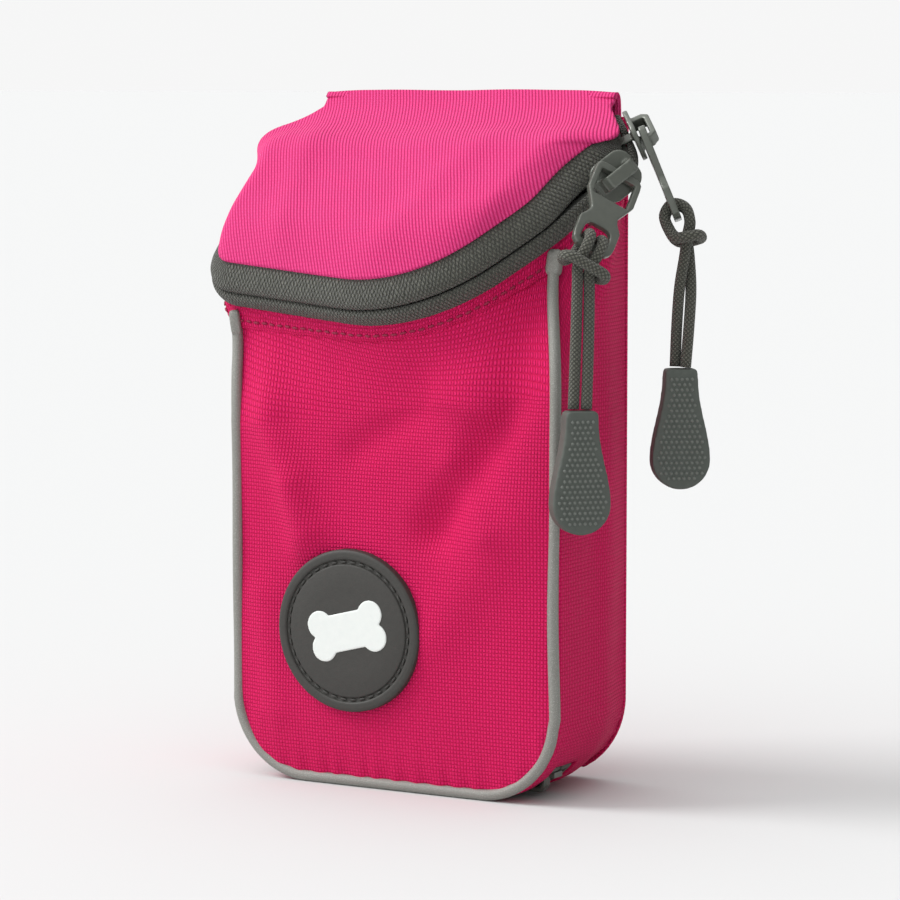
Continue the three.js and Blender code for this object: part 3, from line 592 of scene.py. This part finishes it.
LOWER_SECTION = [
    (-1.3, -5.4), (-0.8, -4.9), (-0.25, -4.0), (0.0, -2.6), (-0.05, -1.2), (-0.6, -0.4), (-1.5, -0.35),
]
lower = laid("mouth_zip_tape", 220, 10, along_zip(LOWER_SECTION))
thicken(lower, 0.7)
tape_finish.on(lower, "zip_tape")
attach(lower, "pouch_body")
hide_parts("zip_tape_lower")


# The woven nylon: a coarse, strong pink plain weave, each thread about a millimetre wide. The lid's
# piece shows its warp as ribs. Light threads lie proud and the gaps between them are painted darker, as
# shade.
def nylon(name, warp_pitch, weft_pitch, rib, light, dark, sheen, deep=0.0003):
    finish = Finish(name, 0.7, Sheen_Weight=sheen, Sheen_Roughness=0.35)
    finish.shader.inputs["Sheen Tint"].default_value = (1, 0.25, 0.6, 1)
    finish.shader.inputs["Specular IOR Level"].default_value = 0.15
    across, up, _ = finish.threads()
    wobble = (finish.grain(260, 1.0) - 0.5) * 0.00018
    warp, weft = (across + wobble).wave(warp_pitch), (up + wobble).wave(weft_pitch)
    crossing = warp * weft
    beads = (crossing * 1.6).held() + (crossing * -0.7).held()
    height = beads * (1 - rib) + abs(warp) * rib
    # Painted shade: the colour darkens with the weave's height into the gaps between threads, mixed with a
    # broad random tone.
    gap_shade_and_tone = (height * 0.85 + (finish.grain(35, 3.0) - 0.5) * 0.2).held()
    finish.colour(finish.blend(gap_shade_and_tone, dark, light))
    finish.relief(height, deep)
    return finish


# The darker colour of each pair is the painted shade in the gaps between threads.
PINK, PINK_DARK = (0.80, 0.016, 0.150), (0.55, 0.004, 0.072)
# The lid's pink is lighter and bluer than the walls' as a painted highlight on the same nylon; its ribs are
# its own weave.
LIT_LID_PINK, LIT_LID_PINK_DARK = (0.80, 0.070, 0.27), (0.60, 0.014, 0.13)
nylon_wall = nylon("woven nylon", 0.00074, 0.00081, 0.05, PINK, PINK_DARK, 0.03)
lit_nylon_lid = nylon("woven nylon lid painted highlight", 0.0008, 0.0008, 0.7, LIT_LID_PINK, LIT_LID_PINK_DARK, 0.12, 0.00025)

# The lid: one nylon panel, softly domed, its edge tucked in behind the upper tape and its back edge
# sewn to the back panel along the fold. Its front edge runs between two shares of the zip's length,
# LID_RIGHT and LID_LEFT, and its sides from there to the back.
LID_HALF, LID_OVER = 36.6, 2.2
LID_RIGHT, LID_LEFT = 0.24, 0.78


def lid_edge(share):
    """The lid's edge beside a place on the zip, as (x, v)."""
    spot, out, _ = zip_line(share)
    left_side = ease(-spot.x, 38, 46) * (1 - ease(spot.y, 34, 46))
    tucked = upper_section(spot)[4][0] + 2.6 + 2.6 * left_side
    at_back = -1.2
    return spot + out * (at_back + (tucked - at_back) * ease(spot.y, 1, 16))


def lid_side(share, way):
    """A side edge of the lid from its back corner, for a share of its length."""
    back = Vector((LID_HALF * way, -LID_OVER))
    first = lid_edge(0 if way > 0 else 1)
    lead = 0.12
    if share < lead:
        return back.lerp(first, share / lead)
    t = (share - lead) / (1 - lead)
    return lid_edge(LID_RIGHT * t if way > 0 else 1 + (LID_LEFT - 1) * t)


def lid_place(a, b):
    """The lid's sheet is filled in between its four edges, then domed with two faint folds."""
    front = lid_edge(LID_LEFT + (LID_RIGHT - LID_LEFT) * a)
    back = Vector((-LID_HALF + 2 * LID_HALF * a, -LID_OVER))
    left, right = lid_side(b, -1), lid_side(b, 1)
    corners = (
        Vector((-LID_HALF, -LID_OVER)) * (1 - a) * (1 - b)
        + Vector((LID_HALF, -LID_OVER)) * a * (1 - b)
        + lid_edge(LID_LEFT) * (1 - a) * b + lid_edge(LID_RIGHT) * a * b
    )
    x, v = back * (1 - b) + front * b + left * (1 - a) + right * a - corners
    from_side, from_front = min(min(a, 1 - a) * 7.2, 1), min((1 - b) * 4.6, 1)
    dome = math.sin(from_side * math.pi / 2) * math.sin(from_front * math.pi / 2)
    lean = ease(v, 9, 22)
    low = 0.45 + 0.55 * ease(v, 0, 18)
    left_side = ease(-x, 30, 44) * (1 - ease(v, 34, 46))
    edge = (5.2 + 0.5 * lean - 1.3 * left_side * lean) * low
    n = edge + (6.9 * low - edge + 2.9 * lean) * dome
    n += 0.55 * noise.noise(Vector((x * 0.045, v * 0.06, 3))) * dome
    n += 0.7 * dome * math.exp(-((x + 32 - v * 0.1) / 4) ** 2) * ease(v, 4, 20)
    n += 0.5 * dome * math.exp(-((x - 24 + v * 0.5) / 5) ** 2) * ease(v, 2, 20)
    return on_slope(x, v, n), (x - 0.4 * v, -v)


lid = laid("lid_cloth", 110, 90, lid_place)
edit(lid, lambda: bpy.ops.mesh.flip_normals())
thicken(lid, 0.8)
# The lid takes the lighter pink, a painted highlight.
lit_nylon_lid.on(lid, "nylon_pink")
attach(lid, "lid")
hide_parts("lid_panel")

# The fold: the back cloth runs on over the top edge into the lid, in one piece of nylon. It is the
# lid's only hinge, so it follows the back panel below and the lid above, and bends in between.
FOLD = [(18.6, 142), (18.8, 145), (18.7, 148), (18.4, 150), (17.6, 151.1), (16.6, 151.2), (15.7, 150.2)]


def fold_place(a, b):
    x = 36.8 - 73.6 * a
    y, z = through(FOLD, b)
    z += 0.25 * noise.noise(Vector((x * 0.12, z * 0.1, 4))) * math.sin(math.pi * b)
    return Vector((x, y, z)), (x, b * 14)


fold = laid("fold_cloth", 60, 24, fold_place)
thicken(fold, 0.6)
# The fold takes the lid's lighter pink, the painted highlight along the top edge.
lit_nylon_lid.on(fold, "nylon_pink")
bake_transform(fold)

# The front panel: nylon cut to a U at its foot and sewn into the piping all round. It bellies out and
# creases softly, and puckers where the seam draws it in. A crease goes from one (x, z) to another and
# has a width and a height.
FOOT_R, PIPING_R = 19, 1.2
CREASES = [
    (-38, 92, -20, 56, 5, 2.6), (-24, 66, -22, 52, 4, 1.3), (0, 100, 22, 102, 4, 1.8),
    (37, 96, 12, 58, 5, -2.9), (-30, 101, -4, 93, 4, -1.8), (24, 84, 2, 92, 4, 1.6),
    (30, 60, 12, 36, 7, 1.3), (-34, 40, -30, 16, 5, 1.1), (8, 84, -8, 74, 4, -1.2), (16, 72, 24, 58, 4, 1.2),
]


def foot_half(z, r=FOOT_R, half=HALF):
    """Half the width of the pouch's front at a height."""
    return half if z >= r else half - r + math.sqrt(max(r * r - (r - z) ** 2, 0))


def creased(x, z):
    """How far the creases lift the cloth at a place."""
    lift = 0
    for x0, z0, x1, z1, wide, high in CREASES:
        ahead = Vector((x1 - x0, z1 - z0))
        from_start = Vector((x - x0, z - z0))
        t = min(max(from_start.dot(ahead) / ahead.length_squared, 0), 1)
        lift += high * math.exp(-((from_start - ahead * t).length / wide) ** 2)
    return lift


def front_wall(u, z, top):
    """The upright part of the front, u from -1 at the left seam to 1 at the right one."""
    x = u * (foot_half(z, FOOT_R - PIPING_R, HALF - PIPING_R) if z > PIPING_R + 0.01 else 22)
    edge = min((1 - abs(u)) * 40, z - PIPING_R)
    free = 1 - math.exp(-edge / 5)
    belly = 1.5 * (1 - u * u) * math.sin(math.pi * min(z / top * 0.85 + 0.12, 1))
    ruck = math.sin(x * 1.25 + noise.noise(Vector((x * 0.2, 0, 5))) * 2)
    pucker = 0.3 * math.exp(-edge / 3.5) * ruck * (z < 16)
    soft = 0.6 * noise.noise(Vector((x * 0.05, z * 0.045, 0.3)))
    y = FRONT_Y + 0.9 - free * (1.0 + belly + creased(x, z) + soft) - pucker * min(edge, 1)
    return Vector((x, y, z))


# The share of the sheet below the shoulder, and the thread count of the rest, up to the zip.
UPRIGHT, LEAN_RUN = 0.8, 16


def front_place(a, b):
    u = 2 * a - 1
    top = slope_height(u * HALF, FRONT_Y, SHOULDER)
    if b <= UPRIGHT:
        z = PIPING_R + (top - PIPING_R) * b / UPRIGHT
        spot = front_wall(u, z, top)
        return spot, (spot.x, z)
    t = (b - UPRIGHT) / 0.2
    base = front_wall(u, top, top)
    spot = lean_over(base, share_towards(u * HALF, FRONT_Y), t)
    spot.y -= 0.5 * noise.noise(Vector((spot.x * 0.08, spot.z * 0.1, 8))) * math.sin(math.pi * t)
    return spot, (base.x, top + t * LEAN_RUN)


front = laid("front_cloth", 120, 150, front_place)
thicken(front, 0.9)
nylon_wall.on(front, "nylon_pink")
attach(front, "pouch_body")
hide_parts("front_panel")

# The side gusset: one long strip of the same nylon, up both sides and under the foot, sewn to the
# piping at the front and to the back panel behind. It puckers along both seams and sinks in a little
# between them. The bottom zip's slot is left open in its underside.
GUSSET_FRONT, GUSSET_BACK, SLOT_FRONT, SLOT_BACK = -16.6, 17.2, -11.3, -1.5
gusset_rows = (
    [GUSSET_FRONT + (SLOT_FRONT - GUSSET_FRONT) * k / 6 for k in range(6)]
    + [SLOT_FRONT + (SLOT_BACK - SLOT_FRONT) * k / 10 for k in range(10)]
    + [SLOT_BACK + (GUSSET_BACK - SLOT_BACK) * k / 20 for k in range(21)]
)


def gusset_place(a, b):
    """The strip goes down the right side, round a corner, under the foot and up the left side."""
    y = gusset_rows[round(b * (len(gusset_rows) - 1))]
    side = 1 if a < 0.5 else -1
    t = 1 - abs(2 * a - 1)
    top = slope_height(side * HALF, y, SHOULDER)
    over = max(0.14 - t, 0) / 0.14
    if t < 0.62:
        z = top + (FOOT_R - top) * max(t - 0.14, 0) / 0.48
        spot, way = Vector((side * HALF, y, z)), Vector((side, 0, 0))
        run = top - z
    elif t < 0.84:
        turn = (t - 0.62) / 0.22 * math.pi / 2
        way = Vector((side * math.cos(turn), 0, -math.sin(turn)))
        spot = Vector((side * (HALF - FOOT_R), y, FOOT_R)) + way * FOOT_R
        run = top - FOOT_R + turn * FOOT_R
    else:
        x = side * (HALF - FOOT_R) * (1 - (t - 0.84) / 0.16)
        spot, way = Vector((x, y, 0)), Vector((0, 0, -1))
        run = top + (HALF - FOOT_R) - abs(x)
    share = (y - GUSSET_FRONT) / (GUSSET_BACK - GUSSET_FRONT)
    free = math.sin(math.pi * min(max(share, 0), 1)) ** 0.6
    up = max(spot.z, 0)
    swell = 1.1 * math.sin(math.pi * min(up / 100, 1))
    belly = free * (swell + 0.7 * noise.noise(spot * 0.05) * ease(up, 4, 25))
    hollow = math.exp(-((up - 70) / 34) ** 2) * math.exp(-((y + 4 - up * 0.05) / 6) ** 2)
    dip = 1.1 * free * ease(up, 3, 18) * hollow
    near = math.exp(-min(y - GUSSET_FRONT, GUSSET_BACK - y) / 3)
    ruck = math.sin(run * 1.2 + noise.noise(spot * 0.2) * 2)
    pucker = 0.3 * near * ruck * ease(up, 1, 4) * (1 - ease(up, 12, 22))
    drawn_in = 2.1 * ease(y, 3, 17.2)
    spot = spot + way * (0.5 * belly - dip + pucker - drawn_in)
    if over > 0:
        spot = lean_over(spot, share_towards(side * HALF, y), over)
    return spot, (y, up + over * LEAN_RUN if t < 0.62 else -(run - top))


gusset = laid("side_cloth", 200, len(gusset_rows) - 1, gusset_place)
edit(gusset, lambda: bpy.ops.mesh.select_mode(type="FACE"))
for face in gusset.data.polygons:
    middle = face.center / MM
    face.select = middle.z < 7.3 and SLOT_FRONT < middle.y < SLOT_BACK
bpy.ops.object.mode_set(mode="EDIT")
bpy.ops.mesh.delete(type="FACE")
bpy.ops.object.mode_set(mode="OBJECT")
thicken(gusset, 0.9)
nylon_wall.on(gusset, "nylon_pink")
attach(gusset, "pouch_body")
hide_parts("side_gusset")

# The back panel: flat nylon up to the lid's fold, sewn to the gusset round its sides and foot. A
# stiff sheet behind it keeps it upright.
BACK_FOOT, BACK_TOP = 2.3, 146


def back_place(a, b):
    u = 1 - 2 * a
    z = BACK_FOOT + (BACK_TOP - BACK_FOOT) * b
    x = u * foot_half(z, FOOT_R, HALF - 2)
    return Vector((x, BACK_Y, z)), (x, z)


back = laid("back_cloth", 60, 90, back_place)
thicken(back, 0.9)
nylon_wall.on(back, "nylon_pink")
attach(back, "pouch_body")
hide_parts("back_panel")


# The facing: the cloth's folded edge, sewn over the zip's lower tape with one row of topstitching in
# a darker pink thread. It sits a little proud of the walls that lean in under it.
wall_round = (
    [(HALF, 17.2 - 35.2 * k / 40) for k in range(40)] + [(HALF - 82 * k / 80, FRONT_Y) for k in range(80)]
    + [(-HALF, FRONT_Y + 35.2 * k / 40) for k in range(41)]
)
wall_shares = [share_towards(x, y) for x, y in wall_round]


def wall_spot(share):
    """The top of the wall below a place on the zip."""
    for (x0, y0), (x1, y1), low, high in zip(wall_round, wall_round[1:], wall_shares, wall_shares[1:]):
        if low <= share <= high and high > low:
            t = (share - low) / (high - low)
            x, y = x0 + (x1 - x0) * t, y0 + (y1 - y0) * t
            return Vector((x, y, slope_height(x, y, SHOULDER)))
    x, y = wall_round[0 if share < 0.5 else -1]
    return Vector((x, y, slope_height(x, y, SHOULDER)))


def facing_place(a, b):
    share = 1 - a
    _, out, run = zip_line(share)
    base = wall_spot(share)
    spot = lean_over(base, share, 0.74 + 0.26 * b)
    proud = 0.55 * math.sin(math.pi * min(b + 0.15, 1)) - 1.3 * (1 - ease(b, 0, 0.3))
    ripple = 0.12 * math.sin(run * 1.1 + 2 * noise.noise(Vector((run * 0.05, 0, 0))))
    return spot + Vector((out.x, -out.y * 0.7, -out.y * 0.5)).normalized() * (proud + ripple), (run, b * 5)


facing = laid("zip_facing_cloth", 220, 12, facing_place)
thicken(facing, 0.5)
nylon_wall.on(facing, "nylon_pink")
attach(facing, "pouch_body")
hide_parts("zip_facing")

thread = Finish("sewing thread", 0.6)
thread.colour(thread.blend(thread.grain(2000), (0.20, 0.002, 0.028), (0.36, 0.005, 0.055)))


def stitched(name, spots, wide, finish, slot):
    """A row of stitches, each a short round dash from one spot to the next."""
    places = []
    for a, b, up in spots:
        ahead = (b - a) / 2
        side = ahead.cross(up).normalized() * wide
        lift = side.cross(ahead).normalized() * wide * 0.75
        turn = Matrix((side, lift, ahead)).transposed().to_4x4()
        places.append(Matrix.Scale(MM, 4) @ Matrix.Translation((a + b) / 2) @ turn)
    row = gathered(
        name, lambda: bpy.ops.mesh.primitive_uv_sphere_add(segments=8, ring_count=5, radius=1), places
    )
    edit(row, lambda: bpy.ops.mesh.normals_make_consistent(inside=False))
    finish.on(row, slot)
    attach(row, "pouch_body")


STITCH_PITCH = 2.3
count = int(zip_line.length / STITCH_PITCH)
topstitches = []
for k in range(6, count - 6):
    ends = []
    for share in ((k + 0.14) / count, (k + 0.86) / count):
        spot, _ = facing_place(1 - share, 0.5)
        around, _ = facing_place(1 - share, 0.58)
        beside, _ = facing_place(1 - share + 0.004, 0.5)
        up = (beside - spot).cross(around - spot).normalized()
        up = up if up.dot(Vector((spot.x, spot.y, 0))) > 0 else -up
        ends.append((spot, up))
    topstitches.append((ends[0][0] + ends[0][1] * 0.2, ends[1][0] + ends[1][1] * 0.2, ends[0][1]))
stitched("facing_topstitch", topstitches, 0.3, thread, "nylon_pink")

# The piping: a cord in grey reflective tape, sewn between the front panel and the gusset, with a
# folded end at each top corner. Fine glass beads give the tape a grain; their sparkle is painted glints.
beads = Finish("reflective piping", 0.5, Metallic=0.15)
speck = beads.grain(5200, 3.0)
# Painted glints: light specks in the tape's colour stand in for the beads' sparkle.
painted_glints = ((speck - 0.5) * 4).held()
beads.colour(beads.blend(painted_glints, (0.235, 0.235, 0.215), (0.40, 0.40, 0.37)))
beads.relief(speck, 0.00012)
piping_y, foot_bend = FRONT_Y + PIPING_R - 0.1, FOOT_R - PIPING_R
route = []
for side in (1, -1):
    top = slope_height(side * HALF, piping_y, SHOULDER)
    foot_top = foot_bend + PIPING_R
    stretch = [
        Vector((side * (HALF - PIPING_R), piping_y, foot_top + (top - foot_bend - PIPING_R) * k / 40))
        for k in range(41)
    ]
    for spot in stretch:
        spot.y += 0.35 * math.sin(spot.z * 0.11 + side) * math.sin(math.pi * min(spot.z / top, 1))
        spot.x += 0.5 * side * noise.noise(Vector((spot.z * 0.03, side, 0)))
    bend = []
    for k in range(1, 17):
        turn = k / 16 * math.pi / 2
        bend.append(Vector((
            side * (HALF - PIPING_R - foot_bend + foot_bend * math.cos(turn)), piping_y,
            PIPING_R + foot_bend - foot_bend * math.sin(turn),
        )))
    corner_share = share_towards(side * HALF, FRONT_Y)
    ease_over = [lean_over(stretch[-1], corner_share, k / 12) for k in range(1, 12)]
    way = Vector((side * 0.7, -0.7, 0.3)) * 0.5
    ease_over = [spot + way * min(k / 4, 1) for k, spot in enumerate(ease_over)]
    part = ease_over[::-1] + stretch[::-1] + bend
    route = part if side > 0 else route + part[::-1]
piping_ends = [(route[0].copy(), route[0] - route[2]), (route[-1].copy(), route[-1] - route[-3])]
for spot in route:
    spot.z = max(spot.z, PIPING_R + 0.02)
piping = beads.on(tube("front_piping_cord", route, PIPING_R + 0.05, 12), "reflective_piping")
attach(piping, "pouch_body")
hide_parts("front_piping")
for number, (spot, up) in enumerate(piping_ends):
    bpy.ops.object.select_all(action="DESELECT")
    bpy.ops.mesh.primitive_cube_add(size=1)
    tuck = bpy.context.object
    tuck.name = tuck.data.name = f"piping_end_{number}"
    edit(tuck, lambda: bpy.ops.mesh.bevel(offset=0.22, segments=3, affect="EDGES"))
    turn = up.to_track_quat("Z", "Y").to_matrix().to_4x4()
    size = Matrix.Diagonal((3.2, 2.4, 5.6, 1))
    tuck.data.transform(Matrix.Scale(MM, 4) @ Matrix.Translation(spot - up.normalized() * 2.4) @ turn @ size)
    bpy.ops.object.shade_smooth()
    beads.on(tuck, "reflective_piping")
    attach(tuck, "pouch_body")

# The badge: a round dark rubber patch with a raised rim, sewn on low on the front through its groove,
# with a pale bone in relief. Its outline is (from the middle, up from its face).
patch = Finish("badge rubber", 0.58)
patch.colour(patch.blend(patch.grain(700, 3.0), (0.030, 0.029, 0.026), (0.044, 0.042, 0.037)))
patch.relief(patch.grain(1800), 0.00005)
BADGE = Vector((-8.8, -20.9, 34.9))
BADGE_OUTLINE = [
    (0, 0.5), (14.2, 0.5), (14.5, 0.4), (14.7, 0.0), (15.5, 0.0), (15.7, 0.4), (15.95, 0.55),
    (17.2, 0.5), (17.65, 0.25), (17.8, -0.2), (17.8, -1.9),
]


def badge_place(a, b):
    reach = b * (len(BADGE_OUTLINE) - 1)
    i = min(int(reach), len(BADGE_OUTLINE) - 2)
    r, up = Vector(BADGE_OUTLINE[i]).lerp(Vector(BADGE_OUTLINE[i + 1]), reach - i)
    turn = a * math.tau
    return BADGE + Vector((r * math.cos(turn), -up, r * math.sin(turn))), (a, b)


badge = closed(laid("badge_disc", 96, 30, badge_place))
patch.on(badge, "badge_rubber")
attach(badge, "pouch_body")
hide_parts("badge")
SEWN_R, SEWN_COUNT = 15.1, 40
ring = []
for k in range(SEWN_COUNT):
    ends = [
        BADGE + Vector((SEWN_R * math.cos(t), -0.12, SEWN_R * math.sin(t)))
        for t in ((k + 0.15) / SEWN_COUNT * math.tau, (k + 0.85) / SEWN_COUNT * math.tau)
    ]
    ring.append((*ends, Vector((0, -1, 0))))
badge_thread = Finish("badge thread", 0.6)
badge_thread.colour(badge_thread.blend(badge_thread.grain(2500), (0.02, 0.02, 0.018), (0.06, 0.058, 0.052)))
stitched("badge_stitching", ring, 0.3, badge_thread, "badge_rubber")
pale = Finish("emblem rubber", 0.5)
pale.colour(pale.blend(pale.grain(600), (0.72, 0.76, 0.74), (0.8, 0.83, 0.8)))
bone = softened("badge_bone", "badge_emblem", 0.22, 5, "emblem_white", pale, "pouch_body")
BONE_SHIFT = Vector((1.7, 0, -1.1))
bone.data.transform(Matrix.Translation(BONE_SHIFT * MM))

# The sliders and tabs: cast zinc, painted a satin grey-green.
paint = Finish("painted metal", 0.32, Metallic=0.3, Coat_Weight=0.3)
paint.colour(paint.blend(paint.grain(500, 3.0), (0.095, 0.105, 0.088), (0.13, 0.14, 0.12)))
paint.relief(paint.grain(900), 0.00003)
for name in ("front", "rear"):
    softened(f"zip_slider_{name}", f"slider_{name}", 0.24, 4, "painted_metal_grey", paint, f"{name}_slider")
    softened(f"zip_tab_{name}", f"pull_{name}", 0.22, 4, "painted_metal_grey", paint, f"{name}_tab")
softened("bottom_zip_slider", "pocket_slider", 0.24, 4, "painted_metal_grey", paint, "bottom_slider")
softened("bottom_zip_tab", "pocket_pull", 0.22, 4, "painted_metal_grey", paint, "bottom_tab")
for node in ("zip_stop_right", "zip_stop_left", "pocket_stop_right", "pocket_stop_left"):
    paint.on(frame["nodes"][node], "painted_metal_grey")

# Inside and underneath: the lid's grey lining and stiff sheet, the coils of both zips and the bottom
# zip's tapes keep the frame's shapes. The pouch's own lining and back sheet follow below.
lining = Finish("lining cloth", 0.85, Sheen_Weight=0.1)
fine = lining.grain(3000, 2.0)
lining.colour(lining.blend(fine, (0.2, 0.205, 0.2), (0.3, 0.305, 0.295)))
lining.relief(fine, 0.0001)
sheet = Finish("stiffener sheet", 0.6)
sheet.colour(sheet.blend(sheet.grain(300), (0.02, 0.021, 0.02), (0.035, 0.036, 0.035)))
coil = Finish("zip coil", 0.5)
turns = coil.grain(1400)
coil.colour(coil.blend(turns, (0.045, 0.047, 0.04), (0.09, 0.095, 0.085)))
coil.relief(turns, 0.0001)
plain_tape = Finish("bottom tape", 0.8)
plain_tape.colour(plain_tape.blend(plain_tape.grain(1800), (0.07, 0.072, 0.062), (0.16, 0.165, 0.145)))
plain_tape.relief(plain_tape.grain(2200), 0.0001)
KEPT = {
    lining: ("lid_lining",), sheet: ("lid_stiffener",),
    coil: ("zip_coil_lower", "zip_coil_upper", "pocket_coil_front", "pocket_coil_rear"),
    plain_tape: ("pocket_tape_front", "pocket_tape_rear"),
}
for finish, names in KEPT.items():
    for node in names:
        finish.on(frame["nodes"][node], None)

# The back's stiffener: a thin dark plastic sheet, cut to the back's outline, loose between the back
# panel and the lining.


def stiffener_place(a, b):
    z = 5 + 130 * b
    x = (1 - 2 * a) * (foot_half(z) - 3.5)
    return Vector((x, 16.6, z)), (x, z)


back_sheet = laid("back_sheet", 24, 40, stiffener_place)
thicken(back_sheet, 1.1)
sheet.on(back_sheet, "stiffener_plastic")
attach(back_sheet, "pouch_body")
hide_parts("back_stiffener")


# The lining: a bag of thin grey cloth inside the walls, open at the mouth, with a flat floor above the
# bottom pocket. ROUND is the share of its width that goes round the zip.
ROUND, BAG_FOOT = 0.72, 28.4


def lining_place(a, b):
    """The lining's walls: round the zip from right to left, then back across the pouch's back."""
    if a < ROUND:
        share = 1 - a / ROUND
        lip = lip_spot(share, -3.0, -5.2)
        lip.y = min(lip.y, 15)
        wall = wall_spot(share)
        base = Vector((wall.x * 34.5 / HALF, wall.y * (12.6 / 18 if wall.y < 0 else 14 / 18), wall.z))
    else:
        x = 36 - 72 * (a - ROUND) / 0.28
        lip = Vector((x, 15, 143.5))
        base = Vector((x * 34.5 / 36, 14, slope_height(x, 14, SHOULDER)))
    t = max(b - UPRIGHT, 0) / 0.2
    if t > 0:
        spot = base.lerp(lip, t * t * (3 - 2 * t) * 0.4 + t * 0.6)
    else:
        spot = Vector((base.x, base.y, BAG_FOOT + (base.z - BAG_FOOT) * b / UPRIGHT))
    return spot, (a * 220, b * 90)


bag = laid("lining_bag", 160, 40, lining_place)
edit(bag, lambda: bpy.ops.mesh.remove_doubles(threshold=2e-4))
thicken(bag, 0.5)
lining.on(bag, "lining_grey")
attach(bag, "pouch_body")
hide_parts("inner_lining")
bpy.ops.object.select_all(action="DESELECT")
bpy.ops.mesh.primitive_cube_add(size=1)
bag_floor = bpy.context.object
bag_floor.name = bag_floor.data.name = "lining_floor"
floor_size = Matrix.Diagonal((0.0695, 0.0275, 0.0008, 1))
bag_floor.data.transform(Matrix.Translation(Vector((0, 0.5, 27.9)) * MM) @ floor_size)
lining.on(bag_floor, "lining_grey")
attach(bag_floor, "pouch_body")

# The belt loop: a strip of ribbed pink webbing, sewn to the back panel at both ends and standing off
# it in between, so that a belt goes through.
webbing = Finish("webbing", 0.8, Sheen_Weight=0.15)
across, _, up = webbing.threads("Object")
ribs = abs(across.wave(0.0016)) * (abs(up.wave(0.0011)) * 0.4 + 0.6)
# Painted shade: the grooves between the ribs are coloured darker, by the same height as the bump.
webbing.colour(webbing.blend(ribs, PINK_DARK, PINK))
webbing.relief(ribs, 0.0004)
softened("belt_loop_webbing", "belt_loop", 0.5, 4, "nylon_pink", webbing, "pouch_body")

# The studio: a pale sweep, one broad soft light above and to the left, a weaker one from the right.
bpy.ops.object.select_all(action="DESELECT")
bpy.ops.mesh.primitive_plane_add(size=60)
floor = bpy.context.object
floor.name = "floor"
backdrop = Finish("backdrop", 0.9)
backdrop.shader.inputs["Base Color"].default_value = (0.655, 0.66, 0.66, 1)
backdrop.shader.inputs["Specular IOR Level"].default_value = 0.0
floor.data.materials.append(backdrop.material)
world = bpy.data.worlds.new("studio")
world.use_nodes = True
tree = world.node_tree


def world_node(kind, **settings):
    node = tree.nodes.new(kind)
    for key, value in settings.items():
        setattr(node, key, value)
    return node


# The tent round the pouch glows most at the top left, least at the right and low down.
facing_way = world_node("ShaderNodeTexCoord")
glow = world_node("ShaderNodeVectorMath", operation="DOT_PRODUCT")
glow.inputs[1].default_value = Vector((-0.5, -0.35, 0.79)).normalized()
tree.links.new(facing_way.outputs["Generated"], glow.inputs[0])
behind = world_node("ShaderNodeVectorMath", operation="DOT_PRODUCT")
behind.inputs[1].default_value = Vector((-0.5, 0.86, -0.05)).normalized()
tree.links.new(facing_way.outputs["Generated"], behind.inputs[0])
ramp = world_node("ShaderNodeMapRange", interpolation_type="SMOOTHSTEP")
for key, value in (("From Min", -0.2), ("From Max", 1.0), ("To Min", 0.34), ("To Max", 1.45)):
    ramp.inputs[key].default_value = value
tree.links.new(glow.outputs["Value"], ramp.inputs["Value"])
wall = world_node("ShaderNodeMapRange", interpolation_type="SMOOTHSTEP")
for key, value in (("From Min", 0.8), ("From Max", 0.95)):
    wall.inputs[key].default_value = value
tree.links.new(behind.outputs["Value"], wall.inputs["Value"])
level = world_node("ShaderNodeMix")
tree.links.new(wall.outputs[0], level.inputs[0])
tree.links.new(ramp.outputs[0], level.inputs[2])
level.inputs[3].default_value = 0.925
tree.links.new(level.outputs[0], tree.nodes["Background"].inputs["Strength"])
tree.nodes["Background"].inputs["Color"].default_value = (1, 1, 1, 1)
bpy.context.scene.world = world
bpy.ops.object.light_add(type="SUN", location=(-1, -0.8, 1.6))
sun = bpy.context.object
sun.data.energy, sun.data.angle = 1.7, math.radians(26)
sun.rotation_euler = Vector((-0.75, -0.35, 0.75)).to_track_quat("Z", "Y").to_euler()
